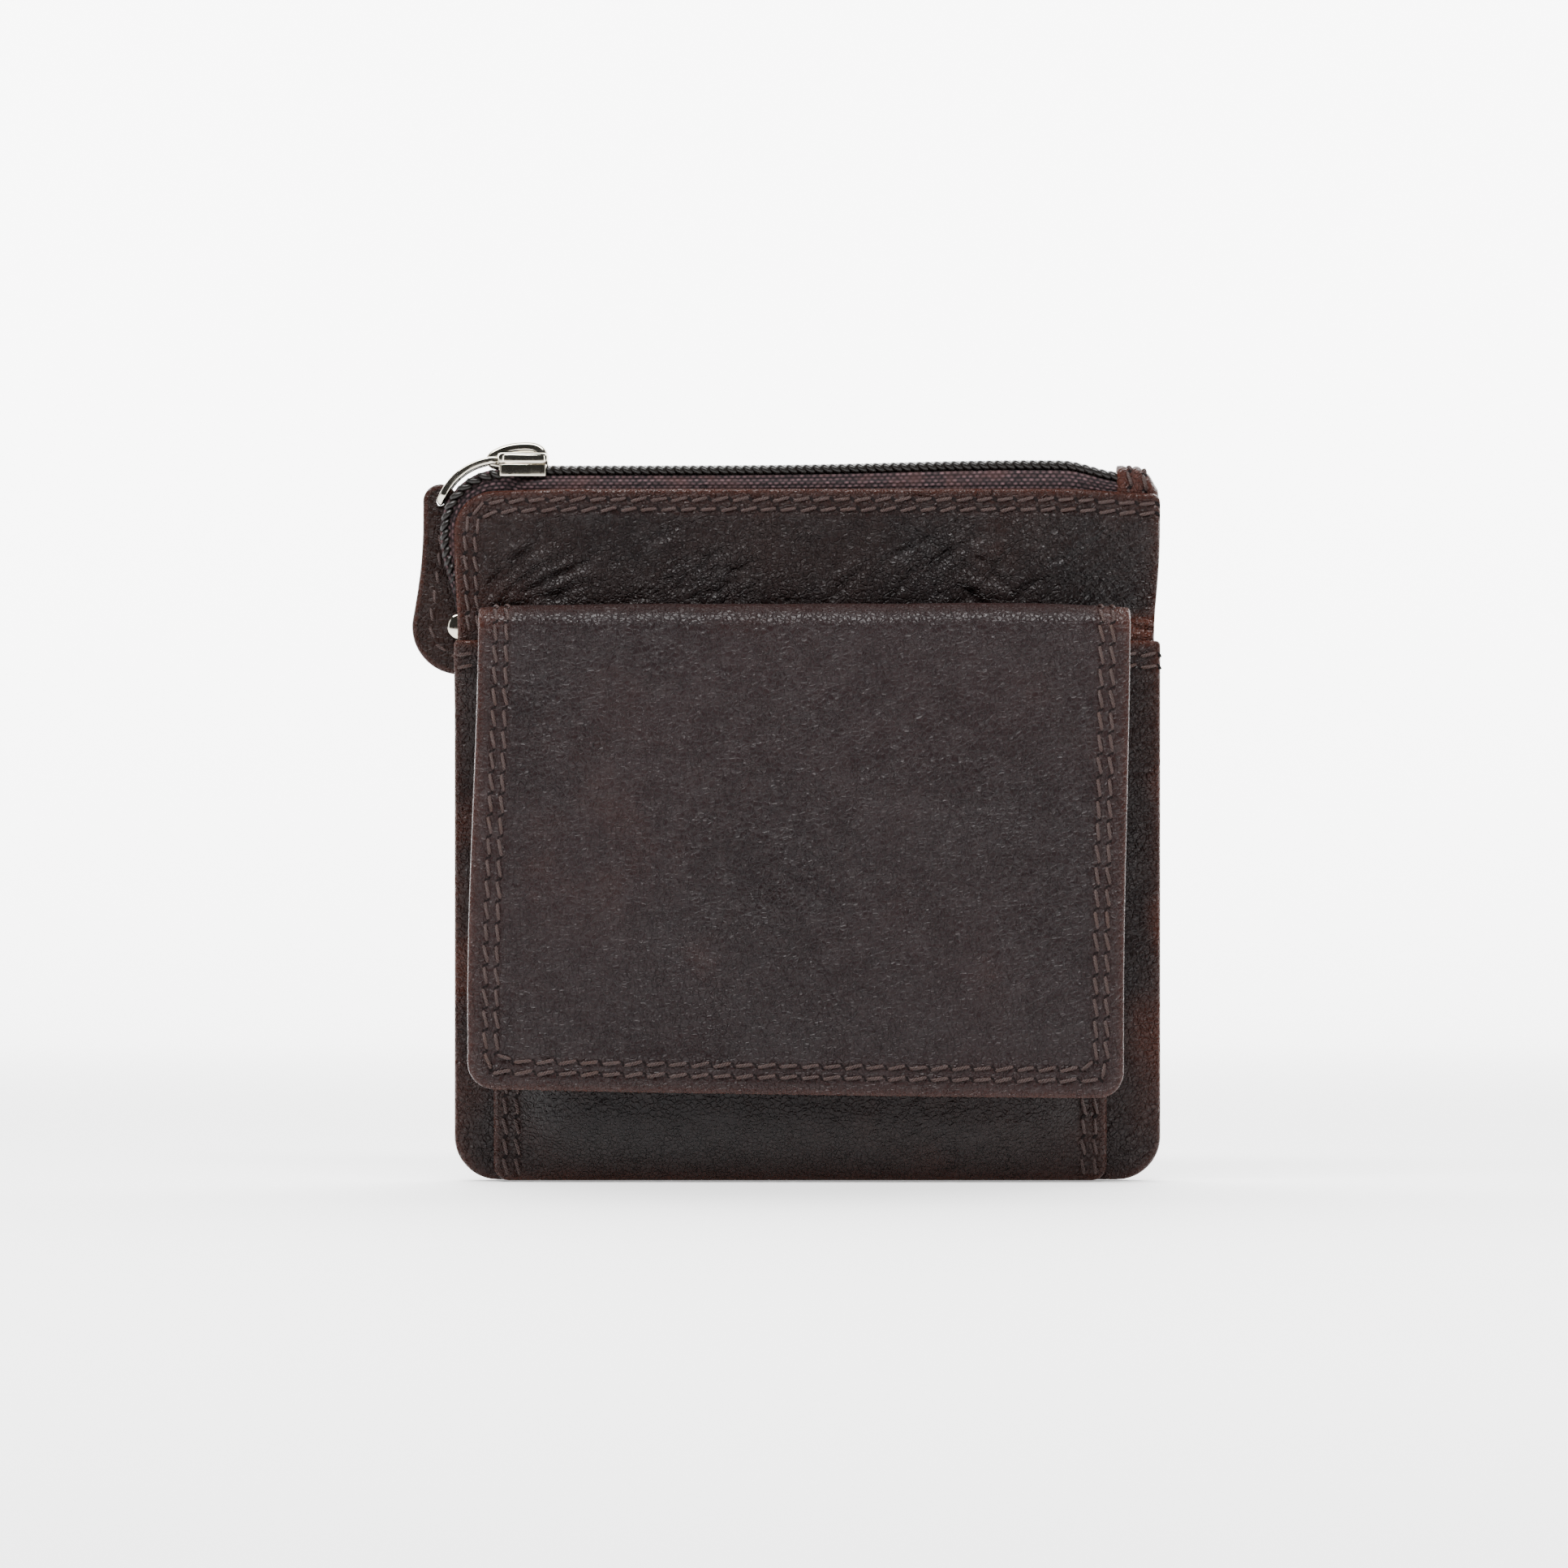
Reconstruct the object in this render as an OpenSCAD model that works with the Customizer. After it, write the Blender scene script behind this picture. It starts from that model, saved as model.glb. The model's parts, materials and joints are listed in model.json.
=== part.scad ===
// Zippered leather pouch with a slip pocket and a flap pocket on its front.
// +Z is up, +X is to the right seen from the front, the front faces -Y.
// The origin is the centre of the base of the whole object, hanging pull included.

/* [Pouch] */
// Width of the leather panels
pouch_w = 105.3; // [95:0.1:130]
// Height of the leather panels, without the zip
pouch_h = 103; // [96:0.5:130]
// Depth of the zip compartment between the leathers
pouch_gap = 7.8; // [7:0.1:14]
// Thickness of the outer leather
leather = 1.3; // [1:0.1:1.8]
// Thickness of the lining cloth
lining = 0.3; // [0.2:0.05:0.5]
// Width of the turned side and bottom seams
seam = 2.4; // [1.8:0.1:3.5]
// Radius of the bottom corners
corner_r = 6.5; // [4:0.5:10]
// Radius of the corner that the zip runs round
zip_corner_r = 6; // [5:0.5:9]
// Bevel along the outer edges
edge_bevel = 0.7; // [0.3:0.1:1]

/* [Zip] */
// Length of the zip opening down the left side
zip_drop = 30; // [28:1:40]
// Thickness of the zip tape
tape_t = 0.5; // [0.3:0.1:0.8]
// Width of the tape that is sewn behind the leather
tape_sewn = 6; // [4:0.5:8]
// Height of the tape that shows above the leather
tape_show = 1.6; // [1.2:0.1:3]
// Diameter of each row of coil
coil_d = 1.4; // [1.2:0.1:2.2]
// Gap between the two rows of coil
coil_gap = 0.3; // [0.2:0.1:0.6]
// Width of the leather tab over the end of the zip
end_tab_w = 6; // [5:0.5:9]
// Thickness of the leather tab over the end of the zip
end_tab_t = 4.6; // [4:0.1:6]
// Height that the end tab stands above the leather
end_tab_rise = 3.7; // [3.3:0.1:5]

/* [Slider] */
// Distance from the left edge to the left end of the slider's plates
slider_in = 6.5; // [5:0.5:12]
// Length of the slider's plates
slider_l = 7.5; // [7:0.5:10]
// Thickness of the slider's plates
plate_t = 0.6; // [0.5:0.1:1]
// Running gap round the slider
slider_gap = 0.2; // [0.15:0.05:0.4]
// Width of the bridge
bridge_w = 2.6; // [2:0.2:4]
// Height of the bridge above the top plate
bridge_h = 3.1; // [2.8:0.1:4]

/* [Pull] */
// Diameter of the link's bars
bar_d = 1; // [0.8:0.1:1.2]
// Thickness of the link's arms
arm_t = 0.9; // [0.8:0.1:1.2]
// Distance between the link's bars
link_l = 11; // [9:0.5:14]
// Angle that the resting link drops below level
link_drop = 34.3; // [25:0.1:45]
// Rise of the link's curve above a straight line
link_rise = 1.2; // [0.8:0.1:2]
// Width between the link's arms
link_gap = 3.4; // [3.2:0.1:5]
// Running gap of the bar in the leather tab
bar_gap = 0.07; // [0.03:0.01:0.1]
// Thickness of each layer of the pull tab
tab_t = 1.05; // [0.8:0.05:1.3]
// Distance from the link's bar to the rivet
tab_l = 18.9; // [15:0.1:24]
// Angle of the resting tab from straight down
tab_lean = 9; // [0:1:15]
// Radius of the tab's round lower end
tab_r = 7.2; // [5:0.1:9]
// Radius of the tab's upper end
tab_top_r = 2.6; // [2:0.1:3.5]
// Radius of the rivet's head
rivet_r = 1.95; // [1.5:0.05:3]
// Radius of the rivet's post
post_r = 0.9; // [0.6:0.1:1.2]
// Height of the rivet's head
rivet_h = 0.65; // [0.4:0.05:0.7]

/* [Slip pocket] */
// Height of the slip pocket's panel
slip_h = 80.4; // [60:0.2:90]
// Thickness of the slip pocket's panel
slip_t = 1.2; // [1:0.1:1.6]

/* [Flap pocket] */
// Width of the flap pocket
pocket_w = 91.2; // [80:0.2:100]
// Offset of the flap pocket from the middle
pocket_x = -1.1; // [-4:0.1:4]
// Depth of the space for cards
card_gap = 4.4; // [4.2:0.1:8]
// Thickness of the pocket's back leather
pocket_back_t = 1; // [0.8:0.1:1.4]
// Thickness of the pocket's front leather
pocket_front_t = 1.2; // [1:0.1:1.6]
// Width of the flap pocket's side seams
pocket_seam = 4.2; // [3:0.1:6]

/* [Flap] */
// Width of the flap
flap_w = 96.6; // [84:0.2:104]
// Height of the flap's top fold
flap_top = 85.7; // [70:0.1:92]
// Height of the flap's lower edge
flap_low = 13; // [6:0.5:30]
// Radius of the flap's lower corners
flap_corner_r = 3.8; // [2:0.1:8]
// Thickness of the flap's outer leather
flap_t = 1.3; // [1:0.1:1.6]
// Thickness of the flap's inner leather
flap_lining_t = 0.8; // [0.6:0.1:1]
// Gap between the closed flap and the pocket
flap_gap = 0.4; // [0.3:0.1:1]
// Radius of the hidden magnets
magnet_r = 6; // [4:0.5:9]
// Thickness of each hidden magnet
magnet_t = 0.6; // [0.4:0.1:0.7]
// Height of the middle of the magnets
magnet_z = 26; // [22:1:50]

/* [Stitches] */
// Width of a stitched row
thread_w = 0.5; // [0.4:0.05:0.7]
// Depth that the thread sinks into the leather
thread_sink = 0.35; // [0.2:0.05:0.5]
// Distance from a panel's edge to its first row
row_in = 1.4; // [1.2:0.1:2.5]
// Distance between two rows
row_gap = 1.8; // [1.4:0.1:3]
// Distance from the flap's edge to its first row
flap_row_in = 2.2; // [1.5:0.1:4]

/* [Hidden] */
$fn = 48;
eps = 0.01;
half_w = pouch_w / 2;
cavity_half = pouch_gap / 2;
body_half = cavity_half + leather;
square_r = 0.6;

// zip: everything is measured from the top edge of the leather
zip_low = pouch_h - zip_drop;
flange_top = pouch_h + tape_show;
flange_low = flange_top - tape_t;
coil_top = flange_top + coil_d;
closed_y = coil_gap / 2;
parted_y = cavity_half - coil_d;
tape_right = half_w - end_tab_w - seam / 8;
zip_bend_x = -half_w + zip_corner_r;

// slider
slider_left = -half_w + slider_in;
slider_right = slider_left + slider_l;
part_x = slider_right - 0.3;
top_plate_low = coil_top + slider_gap;
top_plate_top = top_plate_low + plate_t;
low_plate_top = flange_low - slider_gap;
low_plate_low = low_plate_top - plate_t;
wide_y = cavity_half + slider_gap;
narrow_y = closed_y + coil_d + slider_gap;
neck_r = 0.7;
nose_l = 1.4;

// pull: the near bar rests in the left end of the bridge's opening
bridge_left = slider_left - 1.1;
bridge_right = slider_right - 0.8;
bridge_wall = 0.9;
pivot_x = bridge_left + bridge_wall + bar_d / 2 + 0.1;
pivot_z = top_plate_top + bar_d / 2 + 0.1;
far_x = pivot_x - link_l * cos(link_drop);
far_z = pivot_z - link_l * sin(link_drop);
arm_w = 0.7;
link_r = link_l * link_l / (8 * link_rise) + link_rise / 2;
rivet_x = far_x + tab_l * sin(tab_lean);
rivet_z = far_z - tab_l * cos(tab_lean);
tab_left = rivet_x - tab_r;

// front layers, counted forwards from the front panel
slip_back_y = -body_half;
slip_face_y = slip_back_y - slip_t;
pocket_face_y = slip_face_y - pocket_back_t;
pocket_inner_y = pocket_face_y - card_gap;
pocket_outer_y = pocket_inner_y - pocket_front_t;
flap_inner_y = pocket_outer_y - flap_gap;
flap_face_y = flap_inner_y - flap_lining_t - flap_t;
pocket_left = pocket_x - pocket_w / 2;
pocket_right = pocket_x + pocket_w / 2;
flap_left = pocket_x - flap_w / 2;
flap_right = pocket_x + flap_w / 2;

// the flap turns about the middle of its rolled fold
roll_gap = 0.2;
roll_r = (pocket_face_y - roll_gap - flap_face_y) / 2;
hinge_y = flap_face_y + roll_r;
hinge_z = flap_top - roll_r;
pocket_top = hinge_z - roll_r - 0.4;
roll_end = 20;

// the whole object's box is centred on the origin
shift_x = (-tab_left - half_w) / 2;
shift_y = -(flap_face_y + body_half) / 2;

leather_dark = [0.21, 0.17, 0.17];
leather_plum = [0.27, 0.20, 0.20];
leather_red = [0.34, 0.21, 0.18];
cloth = [0.42, 0.36, 0.34];
tape_plum = [0.36, 0.26, 0.30];
coil_black = [0.10, 0.09, 0.09];
nickel = [0.80, 0.78, 0.70];
steel = [0.55, 0.55, 0.57];
thread_brown = [0.50, 0.40, 0.38];

// moves pouch coordinates (zip plane at y = 0) to the object's own origin
module place() {
    translate([shift_x, shift_y, 0]) children();
}

// extrudes a front-view outline between two depths
module slab(y_low, y_high) {
    translate([0, y_high, 0]) rotate([90, 0, 0]) linear_extrude(y_high - y_low) children();
}

// copies a shape at +Y to the other side of the zip plane
module other_side() {
    mirror([0, 1, 0]) children();
}

// outline with radii for its bottom left, bottom right, top right and top left corners
module rounded(x0, x1, z0, z1, r) {
    difference() {
        translate([x0, z0]) square([x1 - x0, z1 - z0]);
        round_cut(x0, z0, 1, 1, r[0]);
        round_cut(x1, z0, -1, 1, r[1]);
        round_cut(x1, z1, -1, -1, r[2]);
        round_cut(x0, z1, 1, -1, r[3]);
    }
}

// the waste outside one rounded corner; sx and sz point into the outline
module round_cut(x, z, sx, sz, r) {
    if (r > 0) {
        difference() {
            translate([sx > 0 ? x - 1 : x - r, sz > 0 ? z - 1 : z - r]) square(r + 1);
            translate([x + sx * r, z + sz * r]) circle(r);
        }
    }
}

// the pouch's outline, moved inwards, or outwards on the zip's side when negative
module pouch_2d(inset) {
    rounded(
        -half_w + inset, half_w - max(inset, 0), max(inset, 0), pouch_h - inset,
        [max(corner_r - inset, square_r), max(corner_r - inset, square_r), square_r,
            zip_corner_r - inset]
    );
}

// the top edge and the left side down to a height
module zip_reach_2d(right, low, depth) {
    translate([-half_w - 9, pouch_h - depth]) square([right + half_w + 9, depth + 9]);
    translate([-half_w - 9, low]) square([depth + 9, pouch_h - low + 9]);
    translate([-half_w, pouch_h - zip_corner_r]) square([zip_corner_r, zip_corner_r]);
}

// a band that follows the zip, between two distances in from the leather's edge
module zip_band_2d(outer, inner, right, low) {
    intersection() {
        difference() {
            pouch_2d(outer);
            pouch_2d(inner);
        }
        zip_reach_2d(right, low, max(inner, 0.1));
    }
}

// the zip compartment, open along the top and down the left side
module cavity_2d() {
    rounded(
        -half_w + seam, half_w - seam, seam, pouch_h + 1,
        [corner_r - seam, corner_r - seam, 0, 0]
    );
    translate([-half_w - 1, zip_low]) square([seam + 2, zip_drop + 1]);
}

// a bevelled front-to-back section cuts every outer edge of the back half
module bevelled_half() {
    intersection() {
        slab(0, body_half) pouch_2d(0);
        linear_extrude(pouch_h) polygon([
            [-half_w, 0], [-half_w, body_half - edge_bevel], [-half_w + edge_bevel, body_half],
            [half_w - edge_bevel, body_half], [half_w, body_half - edge_bevel], [half_w, 0]
        ]);
        translate([half_w, 0, 0]) rotate([0, -90, 0]) linear_extrude(pouch_w) polygon([
            [0, 0], [0, body_half - edge_bevel], [edge_bevel, body_half],
            [pouch_h - edge_bevel, body_half], [pouch_h, body_half - edge_bevel], [pouch_h, 0]
        ]);
    }
}

module half_panel() {
    difference() {
        bevelled_half();
        slab(-1, cavity_half) cavity_2d();
        slab(body_half - thread_sink, body_half + 1) zip_rows_2d();
    }
}

module zip_rows_2d() {
    for (row = [0, 1]) {
        inset = row_in + row * row_gap;
        zip_band_2d(inset, inset + thread_w, half_w - square_r, slip_h + 1);
    }
}

module zip_rows() {
    slab(body_half - thread_sink, body_half) zip_rows_2d();
}

module half_lining() {
    slab(cavity_half - lining, cavity_half) difference() {
        intersection() {
            cavity_2d();
            pouch_2d(0);
        }
        zip_band_2d(-1, tape_sewn, half_w, zip_low - 1);
    }
}

// tape: a wall inside the leather, and a shelf under the closed coil
module half_tape() {
    slab(cavity_half - tape_t, cavity_half) {
        zip_band_2d(-tape_show, tape_sewn, tape_right, zip_low);
    }
    translate([0, 0, flange_low]) linear_extrude(tape_t) polygon([
        [zip_bend_x, cavity_half - tape_t], [zip_bend_x, parted_y], [part_x, closed_y],
        [tape_right, closed_y], [tape_right, cavity_half - tape_t]
    ]);
}

// coil: closed along the top, parting inside the slider, open round the corner
module half_coil() {
    translate([0, 0, flange_top]) linear_extrude(coil_d) polygon([
        [zip_bend_x, cavity_half], [zip_bend_x, parted_y], [part_x, closed_y],
        [tape_right, closed_y], [tape_right, closed_y + coil_d], [part_x, closed_y + coil_d]
    ]);
    slab(parted_y, cavity_half) {
        zip_band_2d(-tape_show - coil_d, -tape_show, zip_bend_x, zip_low + 4);
    }
}

module back_panel() {
    color(leather_plum) place() half_panel();
}

module front_panel() {
    color(leather_dark) place() other_side() half_panel();
}

module back_lining() {
    color(cloth) place() half_lining();
}

module front_lining() {
    color(cloth) place() other_side() half_lining();
}

module zip_tape_front() {
    color(tape_plum) place() other_side() half_tape();
}

module zip_tape_back() {
    color(tape_plum) place() half_tape();
}

module zip_coil_front() {
    color(coil_black) place() other_side() half_coil();
}

module zip_coil_back() {
    color(coil_black) place() half_coil();
}

// the two stops clamped on the ends of the open coils
module zip_top_stops() {
    stop_x = -half_w - tape_show - coil_d;
    color(nickel) place() for (side = [0, 1]) {
        mirror([0, side, 0]) translate([stop_x, parted_y, zip_low + 2]) {
            cube([coil_d, coil_d, 2]);
        }
    }
}

// the stop that joins the closed ends of the coils, just before the end tab
module zip_bottom_stop() {
    stop_l = 1.6;
    color(nickel) place() translate([tape_right - stop_l, -closed_y - coil_d, coil_top]) {
        cube([stop_l, 2 * (closed_y + coil_d), 0.5]);
    }
}

module end_tab_2d() {
    polygon([
        [tape_right, pouch_h - tape_sewn + 1], [half_w - seam, pouch_h - tape_sewn + 1],
        [half_w - seam, pouch_h], [half_w - 0.3, pouch_h],
        [half_w - 0.8, pouch_h + end_tab_rise - 1.6], [half_w - 2.2, pouch_h + end_tab_rise - 0.5],
        [tape_right, pouch_h + end_tab_rise]
    ]);
}

module end_tab_rows() {
    for (x = [tape_right + row_in, tape_right + row_in + row_gap]) {
        translate([x, -end_tab_t / 2, pouch_h]) cube([thread_w, thread_sink, end_tab_rise - 0.8]);
    }
}

module zip_end_tab() {
    color(leather_red) place() difference() {
        slab(-end_tab_t / 2, end_tab_t / 2) end_tab_2d();
        end_tab_rows();
    }
}

module thread_end_tab() {
    color(thread_brown) place() end_tab_rows();
}

// plan of a slider plate, wide where the coils part
module plate_2d(reach, over) {
    polygon([
        [slider_left - over, -wide_y - reach], [slider_left - over, wide_y + reach],
        [slider_right + over, narrow_y + reach], [slider_right + over, -narrow_y - reach]
    ]);
}

module slider_body() {
    color(nickel) place() {
        translate([0, 0, top_plate_low]) linear_extrude(plate_t) plate_2d(plate_t, 0);
        translate([slider_left - nose_l, -bridge_w / 2, top_plate_low]) {
            cube([nose_l, bridge_w, plate_t]);
        }
        translate([0, 0, flange_top + slider_gap]) linear_extrude(coil_d) difference() {
            plate_2d(plate_t, 0);
            plate_2d(0, 0.5);
        }
        translate([0, 0, low_plate_low]) linear_extrude(plate_t) {
            translate([slider_left, -narrow_y]) square([slider_l, 2 * narrow_y]);
        }
        translate([slider_left + neck_r + 0.2, 0, low_plate_top - eps]) {
            cylinder(r = neck_r, h = top_plate_low - low_plate_top + 2 * eps);
        }
    }
}

// arch over the top plate, with the opening that holds the link
module slider_bridge() {
    color(nickel) place() slab(-bridge_w / 2, bridge_w / 2) difference() {
        rounded(bridge_left, bridge_right, top_plate_top, top_plate_top + bridge_h, [0, 0, 2, 2.6]);
        rounded(
            bridge_left + bridge_wall, bridge_right - 2.2,
            top_plate_top - 1, top_plate_top + bridge_h - 1.3, [0, 0, 0.8, 0.8]
        );
    }
}

// the link's plane runs along +X here, from the near bar to the far bar
module link_frame() {
    translate([pivot_x, 0, pivot_z]) mirror([1, 0, 0]) rotate([0, link_drop, 0]) children();
}

module pull_link() {
    arm_angle = 2 * asin(link_l / 2 / link_r);
    color(nickel) place() link_frame() {
        for (side = [0, 1]) {
            mirror([0, side, 0]) slab(link_gap / 2, link_gap / 2 + arm_w) {
                translate([link_l / 2, link_rise - link_r]) intersection() {
                    difference() {
                        circle(link_r + arm_t / 2);
                        circle(link_r - arm_t / 2);
                    }
                    polygon([
                        [0, 0], [-2 * link_r * sin(arm_angle / 2), 2 * link_r * cos(arm_angle / 2)],
                        [2 * link_r * sin(arm_angle / 2), 2 * link_r * cos(arm_angle / 2)]
                    ]);
                }
            }
        }
        for (x = [0, link_l]) {
            translate([x, link_gap / 2 + arm_w, 0]) rotate([90, 0, 0]) {
                cylinder(d = bar_d, h = link_gap + 2 * arm_w);
            }
        }
    }
}

// teardrop: two circles and the straight sides that touch both
module tab_2d(inset) {
    slope = asin((tab_r - tab_top_r) / tab_l);
    low_r = tab_r - inset;
    top_r = tab_top_r - inset;
    translate([rivet_x, rivet_z]) rotate(tab_lean) {
        circle(low_r);
        translate([0, tab_l]) circle(max(top_r, 0.1));
        polygon([
            [-low_r * cos(slope), low_r * sin(slope)], [low_r * cos(slope), low_r * sin(slope)],
            [top_r * cos(slope), tab_l + top_r * sin(slope)],
            [-top_r * cos(slope), tab_l + top_r * sin(slope)]
        ]);
    }
}

module tab_row() {
    slab(-tab_t, -tab_t + thread_sink) difference() {
        tab_2d(row_in);
        tab_2d(row_in + thread_w);
        translate([far_x - tab_top_r, far_z - tab_l / 3]) square([3 * tab_top_r, tab_l]);
    }
}

module tab_holes() {
    translate([far_x, 5, far_z]) rotate([90, 0, 0]) cylinder(r = bar_d / 2 + bar_gap, h = 10);
    translate([rivet_x, 5, rivet_z]) rotate([90, 0, 0]) cylinder(r = post_r, h = 10);
}

module pull_tab_front() {
    color(leather_red) place() difference() {
        slab(-tab_t, 0) tab_2d(0);
        tab_holes();
        tab_row();
    }
}

module pull_tab_back() {
    color(leather_plum) place() difference() {
        slab(0, tab_t) tab_2d(0);
        tab_holes();
    }
}

module thread_pull_tab() {
    color(thread_brown) place() tab_row();
}

// shallow dome on the front of the tab
module rivet_cap() {
    dome_r = (rivet_r * rivet_r + rivet_h * rivet_h) / (2 * rivet_h);
    color(nickel) place() translate([rivet_x, -tab_t, rivet_z]) rotate([90, 0, 0]) intersection() {
        cylinder(r = rivet_r, h = rivet_h);
        translate([0, 0, rivet_h - dome_r]) sphere(dome_r);
    }
}

module rivet_post() {
    color(steel) place() translate([rivet_x, tab_t, rivet_z]) rotate([90, 0, 0]) {
        cylinder(r = post_r, h = 2 * tab_t);
        translate([0, 0, -rivet_h / 2]) cylinder(r = rivet_r, h = rivet_h / 2);
    }
}

module slip_rows() {
    for (row = [0, 1]) {
        translate([-half_w, slip_face_y, slip_h - row_in - row * row_gap - thread_w]) {
            cube([pouch_w, thread_sink, thread_w]);
        }
    }
}

module slip_pocket() {
    color(leather_dark) place() difference() {
        slab(slip_face_y, slip_back_y) intersection() {
            pouch_2d(0);
            translate([-half_w, 0]) square([pouch_w, slip_h]);
        }
        slip_rows();
    }
}

module thread_slip_pocket() {
    color(thread_brown) place() slip_rows();
}

module pocket_back() {
    color(leather_plum) place() slab(pocket_face_y, slip_face_y) {
        rounded(pocket_left, pocket_right, 0, hinge_z + roll_r - 1, [1.5, 1.5, 2, 2]);
    }
}

module magnet(face_y, t) {
    translate([pocket_x, face_y, magnet_z]) rotate([90, 0, 0]) cylinder(r = magnet_r, h = t);
}

module pocket_rows() {
    for (row = [0, 1]) {
        for (x = [
            pocket_left + row_in + row * row_gap, pocket_right - row_in - row * row_gap - thread_w
        ]) {
            translate([x, pocket_outer_y, 0]) cube([thread_w, thread_sink, pocket_top]);
        }
    }
}

// front leather of the card pocket with its side seams and bottom fold
module pocket_front() {
    color(leather_dark) place() difference() {
        slab(pocket_outer_y, pocket_face_y) {
            rounded(pocket_left, pocket_right, 0, pocket_top, [1.5, 1.5, 0, 0]);
        }
        slab(pocket_inner_y, pocket_face_y + 1) {
            translate([pocket_left + pocket_seam, seam]) {
                square([pocket_w - 2 * pocket_seam, pocket_top]);
            }
        }
        magnet(pocket_inner_y, magnet_t);
        pocket_rows();
    }
}

module pocket_magnet() {
    color(steel) place() magnet(pocket_inner_y, magnet_t);
}

module thread_pocket() {
    color(thread_brown) place() pocket_rows();
}

module flap_2d(inset) {
    rounded(
        flap_left + inset, flap_right - inset, flap_low + inset, hinge_z,
        [flap_corner_r - inset / 2, flap_corner_r - inset / 2, 0, 0]
    );
}

// the rolled fold, from straight ahead over the top to its end at the back
module roll(inner_r, outer_r, inset) {
    reach = 2 * outer_r;
    translate([flap_left + inset, hinge_y, hinge_z]) rotate([90, 0, 90]) {
        linear_extrude(flap_w - 2 * inset) intersection() {
            difference() {
                circle(outer_r);
                circle(inner_r);
            }
            polygon([
                [-reach, 0], [0, 0], [reach * cos(roll_end), reach * sin(roll_end)],
                [reach, reach], [-reach, reach]
            ]);
        }
    }
}

module flap_rows() {
    slab(flap_face_y, flap_face_y + thread_sink) for (row = [0, 1]) {
        inset = flap_row_in + row * row_gap;
        difference() {
            flap_2d(inset);
            flap_2d(inset + thread_w);
        }
    }
}

module flap_outer() {
    color(leather_plum) place() difference() {
        union() {
            slab(flap_face_y, flap_face_y + flap_t) flap_2d(0);
            roll(roll_r - flap_t, roll_r, 0);
        }
        flap_rows();
        magnet(flap_face_y + flap_t, magnet_t);
    }
}

module flap_lining() {
    color(leather_red) place() {
        slab(flap_face_y + flap_t, flap_inner_y) flap_2d(0);
        roll(roll_r - flap_t - flap_lining_t, roll_r - flap_t, 0);
    }
}

module flap_magnet() {
    color(steel) place() magnet(flap_face_y + flap_t, magnet_t);
}

module thread_flap() {
    color(thread_brown) place() flap_rows();
}

module thread_zip_front() {
    color(thread_brown) place() other_side() zip_rows();
}

module thread_zip_back() {
    color(thread_brown) place() zip_rows();
}

back_panel();
front_panel();
back_lining();
front_lining();
slip_pocket();
pocket_back();
pocket_front();
pocket_magnet();
zip_tape_front();
zip_tape_back();
zip_coil_front();
zip_coil_back();
zip_top_stops();
zip_bottom_stop();
zip_end_tab();
slider_body();
slider_bridge();
pull_link();
pull_tab_front();
pull_tab_back();
rivet_cap();
rivet_post();
flap_outer();
flap_lining();
flap_magnet();
thread_zip_front();
thread_zip_back();
thread_slip_pocket();
thread_pocket();
thread_flap();
thread_end_tab();
thread_pull_tab();
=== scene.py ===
import json
import math
import bpy
import numpy as np
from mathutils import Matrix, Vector


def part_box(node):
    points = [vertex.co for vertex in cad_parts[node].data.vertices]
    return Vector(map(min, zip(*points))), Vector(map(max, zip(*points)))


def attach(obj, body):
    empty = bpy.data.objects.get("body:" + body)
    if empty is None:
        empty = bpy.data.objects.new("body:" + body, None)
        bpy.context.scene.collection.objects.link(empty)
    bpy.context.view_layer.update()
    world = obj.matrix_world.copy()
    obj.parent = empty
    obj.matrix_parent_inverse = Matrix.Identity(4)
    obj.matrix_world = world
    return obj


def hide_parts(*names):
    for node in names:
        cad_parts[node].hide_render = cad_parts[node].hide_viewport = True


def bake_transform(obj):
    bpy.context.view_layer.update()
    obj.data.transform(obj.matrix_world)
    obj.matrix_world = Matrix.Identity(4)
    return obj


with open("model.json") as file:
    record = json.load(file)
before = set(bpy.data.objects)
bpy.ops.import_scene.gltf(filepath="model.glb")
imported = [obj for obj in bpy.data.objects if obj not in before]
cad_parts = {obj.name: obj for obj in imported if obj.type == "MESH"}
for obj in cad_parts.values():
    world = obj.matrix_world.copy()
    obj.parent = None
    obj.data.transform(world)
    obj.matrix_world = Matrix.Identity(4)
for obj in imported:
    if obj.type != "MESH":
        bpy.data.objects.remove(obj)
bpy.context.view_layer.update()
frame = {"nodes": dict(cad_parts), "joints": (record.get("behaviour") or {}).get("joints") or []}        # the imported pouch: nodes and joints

mm = 0.001
panelLow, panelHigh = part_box("front_panel")
middleX = (panelLow.x + panelHigh.x) / 2   # middle of the leather body
zipPlane = panelHigh.y                     # the two halves of the zip meet here
halfWidth = (panelHigh.x - panelLow.x) / 2 / mm
panelTop = panelHigh.z / mm
origin = np.array((middleX, zipPlane, 0.0))


def local(node):  # a node's box in pouch millimetres: x from the middle, y from the zip plane
    low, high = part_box(node)
    return (np.array(low) - origin) / mm, (np.array(high) - origin) / mm


def smooth(t):
    t = np.clip(t, 0.0, 1.0)
    return t * t * (3 - 2 * t)


def lerp(a, b, t):
    return a + (b - a) * t


def waves(x, z, size, seed, stretch=1.0, angle=0.0, count=14):  # soft random field, about -1 to 1
    rng = np.random.default_rng(seed)
    c, s = math.cos(angle), math.sin(angle)
    along, across = (x * c + z * s) / stretch, z * c - x * s
    total = np.zeros_like(np.asarray(x, float))
    for turn, shift, pitch in zip(rng.uniform(0, math.tau, count), rng.uniform(0, math.tau, count),
                                  rng.uniform(0.6, 1.7, count)):
        total += np.sin((along * math.cos(turn) + across * math.sin(turn)) * math.tau / size * pitch + shift)
    return total / math.sqrt(count)


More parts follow.
